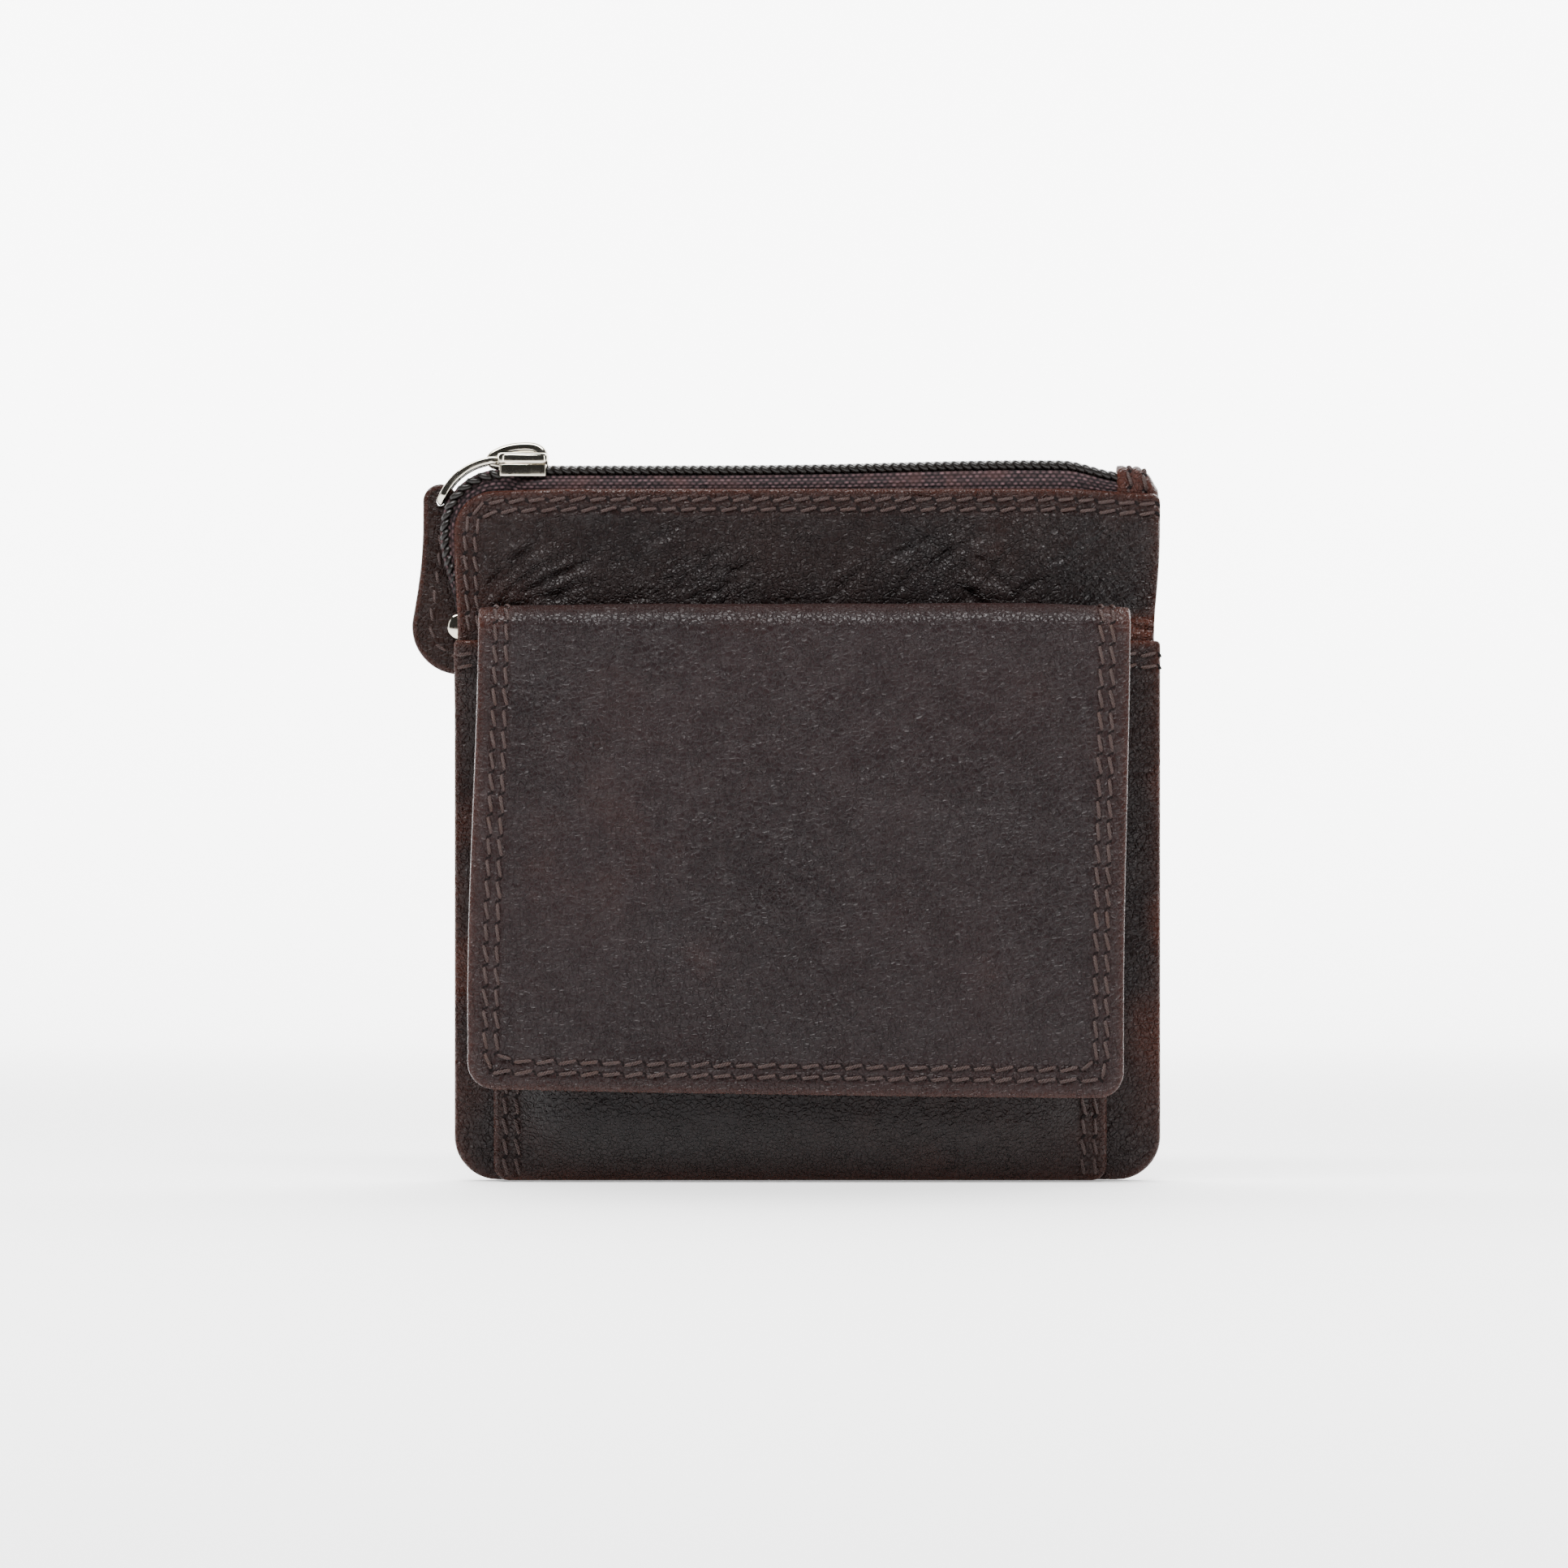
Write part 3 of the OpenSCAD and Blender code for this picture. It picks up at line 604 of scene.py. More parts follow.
def slipRelief(x, z, d):
    rows = rowGroove(slipTop - z - slip["rows"][0]) + rowGroove(slipTop - z - slip["rows"][1])
    dents = waves(x, z, 34, 51) * 0.16 + waves(x, z, 7, 52) * 0.025
    worn = creaseField(x, z, 5.5, 54, 2.0, 0.1) * smooth((np.abs(x) - 44) / 6)
    worn = worn * smooth(waves(x, z, 40, 55) + 0.4)
    return rows + dents * smooth(d / 4) - worn * 0.10


def slipWear(x, z, d):
    side = smooth(waves(x, z, 26, 57) * 0.9 - 0.2) * smooth((np.abs(x) - 46) / 4) * 0.45
    return side + np.exp(-(slipTop - z) / 0.7) * 0.3


slipBase = panelPlace(-1, lambda x, z: bodyDepth(x, z) + 0.02)
sheet("slipPocketLeather", slipBox, slip["thick"], slipBase, slipRelief, leather, "pouch",
      ("slip_pocket",), 0.6, 0.6, slipWear)

pocketLow, pocketHigh = local("pocket_front")
pocket = {"rows": (1.75, 3.55), "taper": 13.0, "bottomTaper": 10.0, "pitch": 3.0, "thick": 1.2}
pocketBox = (pocketLow[0], pocketHigh[0], 0.0, pocketHigh[2], (2.2, 2.2, 0.5, 0.5))


def pocketBackDepth(x, z):
    return bodyDepth(x, z) + 0.02 + slip["thick"]


def pocketRise(x, z):  # how far the card pocket bulges off its back
    side = smooth((x - pocketLow[0] - 1.0) / pocket["taper"])
    side = side * smooth((pocketHigh[0] - 1.0 - x) / pocket["taper"])
    full = layers["pocket"] - layers["pocketBack"] - pocket["thick"] - 0.15
    return 0.05 + full * side ** 0.75 * smooth((z - 0.3) / pocket["bottomTaper"]) ** 0.75


def pocketRelief(x, z, d):
    rows = sum(rowGroove(x - pocketLow[0] - r) + rowGroove(pocketHigh[0] - x - r) for r in pocket["rows"])
    fold = creaseField(x, z, 9.0, 61, 3.5, 0.1) * smooth(1.1 - np.hypot((x - 26) / 22, (z - 9) / 7)) * 0.22
    curl = creaseField(x, z, 7.0, 63, 2.4, -0.5) * smooth(1.1 - np.hypot((x + 16) / 18, (z - 8) / 6)) * 0.16
    return rows + waves(x, z, 20, 62) * 0.10 * smooth((d - 4) / 3) - fold - curl


def pocketWear(x, z, d):
    seam = sum(np.exp(-((x - pocketLow[0] - r) / 0.6) ** 2) + np.exp(-((pocketHigh[0] - x - r) / 0.6) ** 2)
               for r in pocket["rows"])
    return seam * 0.10 + np.exp(-z / 1.2) * 0.25


backBox = (pocketLow[0], pocketHigh[0], 0.0, local("pocket_back")[1][2], (2.2, 2.2, 1.5, 1.5))
sheet("pocketBackLeather", backBox, 0.95, panelPlace(-1, pocketBackDepth), lambda x, z, d: 0 * x,
      insideLeather, "pouch", ("pocket_back",), 1.2, 0.4)
pocketBase = panelPlace(-1, lambda x, z: pocketBackDepth(x, z) + 1.0 + pocketRise(x, z))
sheet("cardPocketLeather", pocketBox, pocket["thick"], pocketBase, pocketRelief, leather, "pouch",
      ("pocket_front",), 0.55, 0.6, pocketWear)
print("pockets ready")

flapLow, flapHigh = local("flap_outer")
hinge = next(j for j in frame["joints"] if j["name"] == "flap_hinge")
hingeY, hingeZ = (np.array(hinge["pos_m"]) - origin)[1:] / mm
flap = {"rollRadius": flapHigh[2] - hingeZ - 0.05, "tail": 5.0, "thick": 1.35, "lining": 0.75, "bottom": 13.3,
        "rows": (2.6, 4.25), "pitch": 3.2, "cornerLow": 3.8, "sideDrop": 0.75, "lean": 1.0}
rollLength = math.pi * flap["rollRadius"]
flapBox = (flapLow[0], flapHigh[0], flap["bottom"], hingeZ + rollLength + flap["tail"],
           (flap["cornerLow"], flap["cornerLow"], 0.5, 0.5))


def flapPlace(x, t, n):  # t runs up the front and over the fold; n is measured from the inner face
    depth = flap["rollRadius"] - flap["thick"] + n
    middle = (flapBox[0] + flapBox[1]) / 2
    turn = np.clip((t - hingeZ) / flap["rollRadius"], 0, math.pi)
    after = np.clip(t - hingeZ - rollLength, 0, None)
    z = np.where(t < hingeZ, t, hingeZ + depth * np.sin(turn)) - after
    y = hingeY - depth * np.cos(turn)
    down = smooth((hingeZ + 4 - t) / 60)
    side = np.abs((x - middle) / (flapBox[1] - flapBox[0]) * 2) ** 3
    y = y + flap["sideDrop"] * side * smooth((hingeZ + 6 - t) / 14) + 0.5 * smooth((26 - t) / 14)
    overFold = smooth(1 - np.abs(turn - math.pi / 2) / (math.pi / 2))
    shoulder = overFold * side ** 2 * 0.55  # the fold's ends droop
    z = z - shoulder + np.where(t < hingeZ, (x - middle) * -0.0145 * down - 0.2 * down * (1 - side), 0)
    fanOut = np.where(x < middle, -1.0, -0.75) * flap["lean"] * (down * 1.6 - 0.75) * np.abs(x - middle) / 48
    return np.stack((x + np.where(x < middle, fanOut, fanOut * 0.8), y, z), -1)


def flapRelief(x, t, d):
    low = edgeDistance((flapBox[0], flapBox[1], flapBox[2], 400.0, flapBox[4]), x, t)
    rows = rowGroove(low - flap["rows"][0]) + rowGroove(low - flap["rows"][1])
    broad = waves(x, t, 42, 71) * 0.14 + waves(x, t, 12, 72) * 0.03
    soft = creaseField(x, t, 8.0, 73, 2.6, 0.35) * smooth(1.1 - np.hypot((x - 28) / 22, (t - 70) / 12)) * 0.10
    wide = smooth(1.1 - np.hypot((x - 5) / 30, (t - 74) / 9))
    soft += creaseField(x, t, 11.0, 75, 3.0, -0.25) * wide * 0.09
    return rows + broad * smooth((low - 4) / 3) - soft


def flapWear(x, t, d):
    low = edgeDistance((flapBox[0], flapBox[1], flapBox[2], 400.0, flapBox[4]), x, t)
    rows = sum(np.exp(-((low - r) / 0.6) ** 2) for r in flap["rows"])
    fold = np.exp(-((t - hingeZ - rollLength * 0.42) / 2.2) ** 2) * 0.22
    corner = smooth(1.1 - np.hypot((np.abs(x + 1) - 47) / 5, (t - 85) / 5)) * 0.30
    return rows * 0.10 + fold + corner


def blendFlap(piece):  # bakes the piece's placement into its mesh; the fold's leather turn comes from flapPlace, not from here
    start = (middleX, zipPlane + (hingeY + flap["rollRadius"]) * mm, hingeZ * mm)
    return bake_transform(piece)


outer = sheet("flapLeather", flapBox, flap["thick"], flapPlace, flapRelief, plumLeather, None,
              ("flap_outer",), 0.55, 0.45, flapWear)
blendFlap(outer)
liningFlapBox = (flapBox[0] + 0.5, flapBox[1] - 0.5, flapBox[2] + 0.5, flapBox[3] - 1.0, (3.3, 3.3, 0.5, 0.5))
inner = sheet("flapInnerLeather", liningFlapBox, flap["lining"],
              lambda x, t, n: flapPlace(x, t, n - flap["lining"] - 0.03), lambda x, t, d: 0 * x,
              insideLeather, None, ("flap_lining",), 1.0, 0.3)
blendFlap(inner)
print("flap ready")

endTabLow, endTabHigh = local("zip_end_tab")
zipWay = {"corner": 6.0, "right": endTabLow[0] + 0.8, "reach": 2.8, "rise": 0.8, "leftRun": 20.0,
          "parted": 2.75, "pitch": 1.3, "coilWidth": 2.1, "coilHeight": 1.75, "wire": 0.53, "closed": 0.66,
          "tapeDeep": 4.5, "behind": 0.45, "shoulder": 1.0}
bendX = -halfWidth + zipWay["corner"]
bendZ = panelTop - zipWay["corner"]
topRun = zipWay["right"] - bendX
cornerRun = zipWay["corner"] * math.pi / 2
sliderLow, sliderHigh = local("slider_body")


def edgePoint(s):  # along the leather's edge: top from the right, round the corner and down the left side
    s = np.asarray(s, float)
    turn = np.clip((s - topRun) / zipWay["corner"], 0, math.pi / 2)
    x = np.where(s < topRun, zipWay["right"] - s, bendX - zipWay["corner"] * np.sin(turn))
    z = np.where(s < topRun, panelTop, bendZ + zipWay["corner"] * np.cos(turn))
    z = z - np.clip(s - topRun - cornerRun, 0, None)
    out = np.stack((-np.sin(turn), np.zeros_like(turn), np.cos(turn)), -1)
    return np.stack((x, np.zeros_like(x), z), -1), out


def zipReach(s):  # how far the coil stands off the leather's edge
    lift = zipWay["rise"] * np.exp(-((s - 14) / 26) ** 2) - 1.6 * smooth((9 - s) / 9)
    tuck = smooth((s - topRun + 4) / 12) * 1.0 + smooth((s - topRun - cornerRun - 1) / 13) * 2.6
    return zipWay["reach"] + lift - tuck


def zipSpread(s):  # the rows close inside the slider
    start = zipWay["right"] - sliderHigh[0]
    return lerp(zipWay["closed"], zipWay["parted"], smooth((s - start - 0.8) / 8.0))


def makeCoil(name, sign, replaced):
    total = topRun + cornerRun + zipWay["leftRun"] - 2.5
    perTurn, sides = 16, 7
    turns = int(total / zipWay["pitch"])
    t = np.arange(turns * perTurn + 1) / perTurn
    s = t * zipWay["pitch"] + (0.0 if sign < 0 else zipWay["pitch"] / 2)
    angle = t * math.tau
    base, out = edgePoint(s)
    run = np.stack((out[:, 2], 0 * s, -out[:, 0]), -1) * -1
    across = np.cos(angle) * (zipWay["coilWidth"] - zipWay["wire"] * 2) / 2
    high = np.sin(angle) * (zipWay["coilHeight"] - zipWay["wire"] * 2) / 2
    skew = 0.34 * np.sin(angle)
    middle = sign * zipSpread(s)
    wobble = 0.03 * np.sin(s * 3.1)
    tucked = zipReach(s) - zipWay["behind"] * smooth((zipSpread(s) - 1.2) / 1.2)
    points = base + out * (tucked + high)[:, None] + run * (skew + wobble)[:, None]
    points[:, 1] += middle + sign * across
    frames = curveFrames(points, (0.3, 0.2, 0.9))
    rings = tube(points, frames, ellipse(zipWay["wire"], zipWay["wire"] * 0.92, sides))
    return addPiece(name, rings, tubeFaces(len(points), sides), zipCoil, "pouch", replaced)


def makeTape(name, sign, replaced):
    total = topRun + cornerRun + zipWay["leftRun"] - 1.0
    s = np.linspace(0.2, total, int(total / 0.15))
    count = 64
    v = np.linspace(0, 1, count)
    base, out = edgePoint(s)
    reach, apart = zipReach(s), zipSpread(s)
    openness = smooth((apart - 1.2) / 1.2)[:, None]
    high = (reach - 0.7)[:, None] + 1.0 * openness
    n = lerp(high, -zipWay["tapeDeep"], v[None, :])
    x = base[:, None, 0] + out[:, None, 0] * n
    z = base[:, None, 2] + out[:, None, 2] * n
    inside = bodyDepth(np.clip(x, -halfWidth, halfWidth), np.minimum(z, panelTop)) - body["leather"] - 0.25
    top = lerp(zipWay["closed"] + 0.55, 0.0, openness) + inside * openness
    y = lerp(top, inside, smooth(np.clip((high - n) / np.maximum(high - zipWay["shoulder"], 0.4), 0, 1)))
    weaveU, weaveV = s / 0.95, (v * (zipWay["reach"] + zipWay["tapeDeep"])) / 0.60
    offset = 0.5 * (np.floor(weaveV) % 2)
    knots = np.sin(math.pi * (weaveU[:, None] + offset[None, :])) * np.sin(math.pi * weaveV)[None, :]
    uneven = waves(s[:, None] + 0 * v, v[None, :] * 9 + 0 * s[:, None], 1.7, 77)
    knots = np.abs(knots) ** 0.7 * (0.8 + 0.2 * uneven)
    front = base[:, None, :] + out[:, None, :] * n[:, :, None]
    back = front.copy()
    front[:, :, 1] += sign * (y + 0.24 * knots)
    back[:, :, 1] += sign * (y - 0.28)
    rows, cols = len(s), count
    points = np.concatenate((front.reshape(-1, 3), back.reshape(-1, 3)))
    faces = gridFaces(rows, cols, 0, sign > 0) + gridFaces(rows, cols, rows * cols, sign < 0)
    faces += rimFaces(rows, cols, sign > 0)
    # the knot pattern goes into the attribute the tape material reads, where it becomes a painted highlight
    # on the knots and painted shade in the gaps
    wearAndWeaveShading = np.concatenate((knots.ravel(), np.full(rows * cols, 0.5)))
    return addPiece(name, points, faces, zipTape, "pouch", replaced, wearAndWeaveShading)


for side, sign in (("front", -1), ("back", 1)):
    makeTape(side + "ZipTape", sign, ("zip_tape_" + side,))
    makeCoil(side + "ZipCoil", sign, ("zip_coil_" + side,))
print("zip ready")

endTab = {"thick": 0.8, "halfDepth": 1.62, "legs": 5.0, "rowFirst": 1.95, "rowSecond": 4.2}
endArc = math.pi * (endTab["halfDepth"] - 0.2)
endBox = (endTabLow[0] - 0.2, endTabHigh[0] + 0.1, -endTab["legs"] - endArc / 2, endTab["legs"] + endArc / 2,
          (0.6, 0.6, 0.6, 0.6))


def endTabPlace(x, t, n):  # folded over the top, open downwards
    f = np.clip((x - endBox[0]) / (endBox[1] - endBox[0]), 0, 1)
    top = endTabHigh[2] - 0.7 * f - 3.0 * smooth((f - 0.5) / 0.55) ** 1.6 - endTab["halfDepth"]
    radius = endTab["halfDepth"] - endTab["thick"] + n
    turn = np.clip(t / (endTab["halfDepth"] - 0.2), -math.pi / 2, math.pi / 2)
    below = np.clip(np.abs(t) - endArc / 2, 0, None)
    return np.stack((x, radius * np.sin(turn), top + radius * np.cos(turn) - below), -1)


def endTabRelief(x, t, d):
    rows = rowGroove(x - endBox[0] - endTab["rowFirst"], 0.3, 0.5)
    rows += rowGroove(x - endBox[0] - endTab["rowSecond"], 0.3, 0.5)
    return rows + waves(x, t, 4, 81) * 0.05


sheet("zipEndTabLeather", endBox, endTab["thick"], endTabPlace, endTabRelief, redLeather, "pouch",
      ("zip_end_tab",), 0.3, 0.4, lambda x, t, d: 0.25 + 0 * x)

stitch = {"ply": 0.145, "twist": 0.16, "turns": 1.9, "plies": 3, "rings": 17, "sides": 5, "slant": 0.29,
          "from": 0.07, "to": 0.88, "lift": 0.20, "under": 0.30, "holeLong": 0.56, "holeWide": 0.27,
          "holeSides": 10}


def alongRow(points, pitch):  # even places along a given outline in a sheet's own coordinates
    points = np.asarray(points, float)
    lengths = np.concatenate(((0,), np.cumsum(np.linalg.norm(np.diff(points, axis=0), axis=1))))
    count = max(int(round(lengths[-1] / pitch)), 1)
    at = np.linspace(0, lengths[-1], count + 1)
    return np.stack((np.interp(at, lengths, points[:, 0]), np.interp(at, lengths, points[:, 1])), -1)


def stitchRow(rows, place, pitch, seed, slantSign=1.0):  # twisted thread between needle holes
    rng = np.random.default_rng(seed)
    threadPoints, threadFaces, holePoints, holeFaces = [], [], [], []
    section = ellipse(stitch["ply"], stitch["ply"], stitch["sides"])
    u = np.linspace(0, 1, stitch["rings"])
    sides = stitch["holeSides"]
    for points in rows:
        places = alongRow(points, pitch)
        for a, b in zip(places[:-1], places[1:]):
            run = (b - a) / np.linalg.norm(b - a)
            side = np.array((-run[1], run[0]))
            span = np.linalg.norm(b - a)
            slant = stitch["slant"] * slantSign * rng.uniform(0.6, 1.3)
            begin = a + run * span * (stitch["from"] + rng.uniform(-0.02, 0.02)) - side * slant
            end = a + run * span * (stitch["to"] + rng.uniform(-0.02, 0.02)) + side * slant
            flat = begin[None, :] + (end - begin)[None, :] * u[:, None]
            arch = np.sin(math.pi * np.clip(u * 0.98 + 0.01, 0, 1)) ** 0.42
            height = -stitch["under"] + (0.34 + stitch["lift"]) * arch
            start = rng.uniform(0, math.tau)
            core = place(flat[:, 0], flat[:, 1], height)
            coreAbove = place(flat[:, 0], flat[:, 1], height + 0.1)
            up = coreAbove - core
            up /= np.linalg.norm(up, axis=1)[:, None]
            forward = np.gradient(core, axis=0)
            forward /= np.linalg.norm(forward, axis=1)[:, None]
            across = np.cross(forward, up)
            for ply in range(stitch["plies"]):
                angle = start + u * stitch["turns"] * math.tau + ply * math.tau / stitch["plies"]
                centre = core + across * (stitch["twist"] * np.cos(angle))[:, None]
                centre = centre + up * (stitch["twist"] * 0.8 * np.sin(angle))[:, None]
                rings = tube(centre, (across, up), section)
                base = len(threadPoints) * stitch["rings"] * stitch["sides"]
                threadPoints.append(rings.reshape(-1, 3))
                threadFaces += tubeFaces(stitch["rings"], stitch["sides"], base)
            # painted shade of the needle hole beyond the stitch, a small dark slit set across the row
            middle = a + run * span * 0.98
            axis = run * 0.72 - side * 0.70 * slantSign
            axisSide = np.array((-axis[1], axis[0]))
            slit = ellipse(stitch["holeLong"], stitch["holeWide"], sides)
            base = sum(len(p) for p in holePoints)
            for size, depth in ((1.0, -0.12), (1.0, 0.03), (0.6, 0.05)):
                flatHole = middle + slit[:, :1] * axis * size + slit[:, 1:] * axisSide * size
                holePoints.append(place(flatHole[:, 0], flatHole[:, 1], np.full(sides, depth)))
            for k in range(sides):
                m = (k + 1) % sides
                for ring in (base, base + sides):
                    holeFaces.append((ring + k, ring + m, ring + sides + m, ring + sides + k))
            holeFaces.append(tuple(base + 2 * sides + k for k in range(sides)))
            holeFaces.append(tuple(base + sides - 1 - k for k in range(sides)))
    return threadPoints, threadFaces, holePoints, holeFaces


def sew(name, rows, place, pitch, rider, replaced, seed, slantSign=1.0, sunk=0.0):
    threadPoints, threadFaces, holePoints, holeFaces = stitchRow(
        rows, lambda x, z, n: place(x, z, n - sunk), pitch, seed, slantSign)
    return [
        addPiece(name + "Thread", np.concatenate(threadPoints), threadFaces, thread, rider,
                 replaced),
        addPiece(name + "Holes", np.concatenate(holePoints), holeFaces, needleHoleShade, rider),
    ]


def onFace(place, thickness, relief):  # measured from the finished outer face instead of the inner one
    def placed(x, z, n):
        x, z = np.asarray(x, float), np.asarray(z, float)
        return place(x, z, thickness + relief(x, z, np.full_like(x, 9.0)) + n)
    return placed


def cornerRow(x, z, r, start, end, count=9):  # points of a round corner, angles in degrees
    t = np.radians(np.linspace(start, end, count))
    return [(x + r * math.cos(a), z + r * math.sin(a)) for a in t]


def zipRow(inset):
    r = zipWay["corner"] - inset
    return ([(-halfWidth + inset, zipRows["end"])] + cornerRow(bendX, bendZ, r, 180, 90)
            + [(halfWidth - 0.4, panelTop - inset)])


zipStitches = [zipRow(zipRows["first"]), zipRow(zipRows["second"])]
sew("frontZip", zipStitches, onFace(innerFront, body["leather"], frontRelief), zipRows["pitch"], "pouch",
    ("thread_zip_front",), 1)
sew("backZip", zipStitches, onFace(innerBack, body["leather"], backRelief), zipRows["pitch"], "pouch",
    ("thread_zip_back",), 2)
slipStitches = [[(-halfWidth + 0.2, slipTop - r), (halfWidth - 0.2, slipTop - r)] for r in slip["rows"]]
sew("slipPocket", slipStitches, onFace(slipBase, slip["thick"], slipRelief), slip["pitch"], "pouch",
    ("thread_slip_pocket",), 3)
pocketStitches = [[(x, 0.6), (x, pocketHigh[2] - 1)] for r in pocket["rows"]
                  for x in (pocketLow[0] + r, pocketHigh[0] - r)]
sew("cardPocket", pocketStitches, onFace(pocketBase, pocket["thick"], pocketRelief), pocket["pitch"], "pouch",
    ("thread_pocket",), 4)


def flapRow(inset):
    r = max(flap["cornerLow"] - inset, 0.5)
    left, right, low = flapBox[0] + inset, flapBox[1] - inset, flapBox[2] + inset
    top = hingeZ + rollLength * 0.62
    return ([(left, top), (left, low + r)] + cornerRow(left + r, low + r, r, 180, 270, 5)
            + cornerRow(right - r, low + r, r, 270, 360, 5) + [(right, top)])


for piece in sew("flap", [flapRow(r) for r in flap["rows"]], onFace(flapPlace, flap["thick"], flapRelief),
                 flap["pitch"], None, ("thread_flap",), 5):
    blendFlap(piece)
endStitches = [[(endBox[0] + r, -endArc / 2 - 4), (endBox[0] + r, endArc / 2 + 4)]
               for r in (endTab["rowFirst"], endTab["rowSecond"])]
sew("endTab", endStitches, onFace(endTabPlace, endTab["thick"], endTabRelief), 2.4, "pouch",
    ("thread_end_tab",), 6)
print("stitches ready")

def prism(name, outline, low, high, bevel, material, rider, replaced=(), axis="z"):  # bevelled plate
    outline = np.asarray(outline, float)
    count = len(outline)
    points = []
    for level in (low, high):
        for a, b in outline:
            points.append((a, b, level) if axis == "z" else (a, level, b))
    flip = axis != "z"
    faces = [tuple(range(count - 1, -1, -1)), tuple(range(count, 2 * count))]
    faces += [(k, (k + 1) % count, count + (k + 1) % count, count + k) for k in range(count)]
    if flip:
        faces = [f[::-1] for f in faces]
    piece = addPiece(name, points, faces, material, rider, replaced)
    mod = piece.modifiers.new("bevel", "BEVEL")
    mod.width = bevel * mm
    mod.segments = 4
    mod.limit_method = "ANGLE"
    mod.angle_limit = math.radians(35)
    mod.harden_normals = False
    return piece


def roundOutline(points, r, per=5):  # rounds the corners of a plan
    points = [np.array(p, float) for p in points]
    out = []
    for k, p in enumerate(points):
        a, b = points[k - 1], points[(k + 1) % len(points)]
        da, db = (a - p) / np.linalg.norm(a - p), (b - p) / np.linalg.norm(b - p)
        reach = min(r, np.linalg.norm(a - p) / 2.2, np.linalg.norm(b - p) / 2.2)
        for t in np.linspace(0, 1, per):
            out.append(p + da * reach * (1 - t) ** 2 + db * reach * t ** 2)
    return np.array(out)


bridgeLow, bridgeHigh = local("slider_bridge")
plateTop = bridgeLow[2] + 1.60   # the plate is domed, a little above the flat one
plateLeft, plateRight = sliderLow[0] + 1.4, sliderHigh[0]
slider = {"wide": 4.3, "narrow": 2.7, "plate": 1.80, "skirt": 1.75, "bevel": 0.55}
wide, narrow = slider["wide"], slider["narrow"]
half = [(plateLeft - 0.2, 3.4), (plateLeft + 2.0, wide), (plateRight - 2.0, narrow + 0.7),
        (plateRight, narrow)]
plan = roundOutline([(x, -y) for x, y in half] + half[::-1], 1.1)
prism("sliderTopPlate", plan, plateTop - slider["plate"], plateTop, slider["bevel"], nickel, "slider",
      ("slider_body",))
skirtTop = plateTop - slider["plate"]
for name, side in (("Front", -1), ("Back", 1)):
    skirt = [(plateLeft + 0.2, side * 3.9), (plateLeft + 2.0, side * wide),
             (plateRight - 0.3, side * (narrow + 0.05)), (plateRight - 0.3, side * (narrow - 0.5)),
             (plateLeft + 2.0, side * (wide - 0.55)), (plateLeft + 0.2, side * 3.3)]
    prism("sliderSkirt" + name, roundOutline(skirt[::-side], 0.3, 3), skirtTop - slider["skirt"],
          skirtTop + 0.1, 0.22, nickel, "slider")
lowPlan = [(plateLeft + 0.3, -1.5), (plateRight, -1.1), (plateRight, 1.1), (plateLeft + 0.3, 1.5)]
lowBottom = local("slider_body")[0][2]
prism("sliderLowPlate", roundOutline(lowPlan, 0.8), lowBottom, lowBottom + 0.6, 0.2, nickel, "slider")
nose = [(plateLeft + 0.75 + 0.6 * math.cos(a), 0.6 * math.sin(a)) for a in np.linspace(0, math.tau, 17)[:-1]]
prism("sliderNeck", nose, lowBottom + 0.3, plateTop - 0.3, 0.05, nickel, "slider")

bridge = {"width": 2.9, "thick": 1.65}
archBase = bridgeLow[2] + 0.4
arch = smoothPath([(bridgeLow[0] + 2.4, 0, archBase - 0.6), (bridgeLow[0] + 0.3, 0, archBase - 0.25),
                   (bridgeLow[0] + 0.25, 0, archBase + 0.65), (bridgeLow[0] + 1.9, 0, bridgeHigh[2] - 1.15),
                   (bridgeLow[0] + 4.0, 0, bridgeHigh[2] - 0.7),
                   (bridgeHigh[0] - 1.3, 0, bridgeHigh[2] - 0.75),
                   (bridgeHigh[0] - 0.15, 0, bridgeHigh[2] - 1.7),
                   (bridgeHigh[0] - 0.05, 0, archBase - 0.9)], 60)
taper = 1 + 0.30 * np.exp(-((np.arange(60) - 50) / 9.0) ** 2)
side, up = curveFrames(arch)
rings = tube(arch, (side * taper[:, None], up), roundedSection(bridge["width"], bridge["thick"], 0.5))
addPiece("sliderBridgeArch", rings, tubeFaces(len(arch), 16), nickel, "slider", ("slider_bridge",))

joints = {j["name"]: (np.array(j["pos_m"]) - origin) / mm for j in frame["joints"] if j["type"] == "hinge"}
nearBar, farBar = joints["link_swing"], joints["tab_swing"]
link = {"halfGap": 2.05, "rise": 1.75, "thick": 1.15, "wide": 0.8}


def linkPath():  # one closed loop: near bar, front arm, far bar, back arm
    chord = farBar - nearBar
    span = np.linalg.norm(chord)
    chord = chord / span
    lift = np.array((chord[2], 0, -chord[0]))
    lift = lift if lift[2] > 0 else -lift
    points = []
    for side, order in ((-1, 1), (1, -1)):
        for t in np.linspace(0, 1, 15)[::order]:
            y = side * link["halfGap"] * (1 - 0.06 * math.sin(math.pi * t))
            end = min(t, 1 - t) / 0.09
            y *= 1 - 0.30 * max(0, 1 - end) ** 2
            bow = lift * link["rise"] * 4 * t * (1 - t)
            points.append(nearBar + chord * span * t + bow + np.array((0, y, 0)))
        for f in (-0.45, 0.0, 0.45):
            at = farBar if order == 1 else nearBar
            points.append(at + np.array((0, f * order * link["halfGap"], 0)))
    return np.array(points)


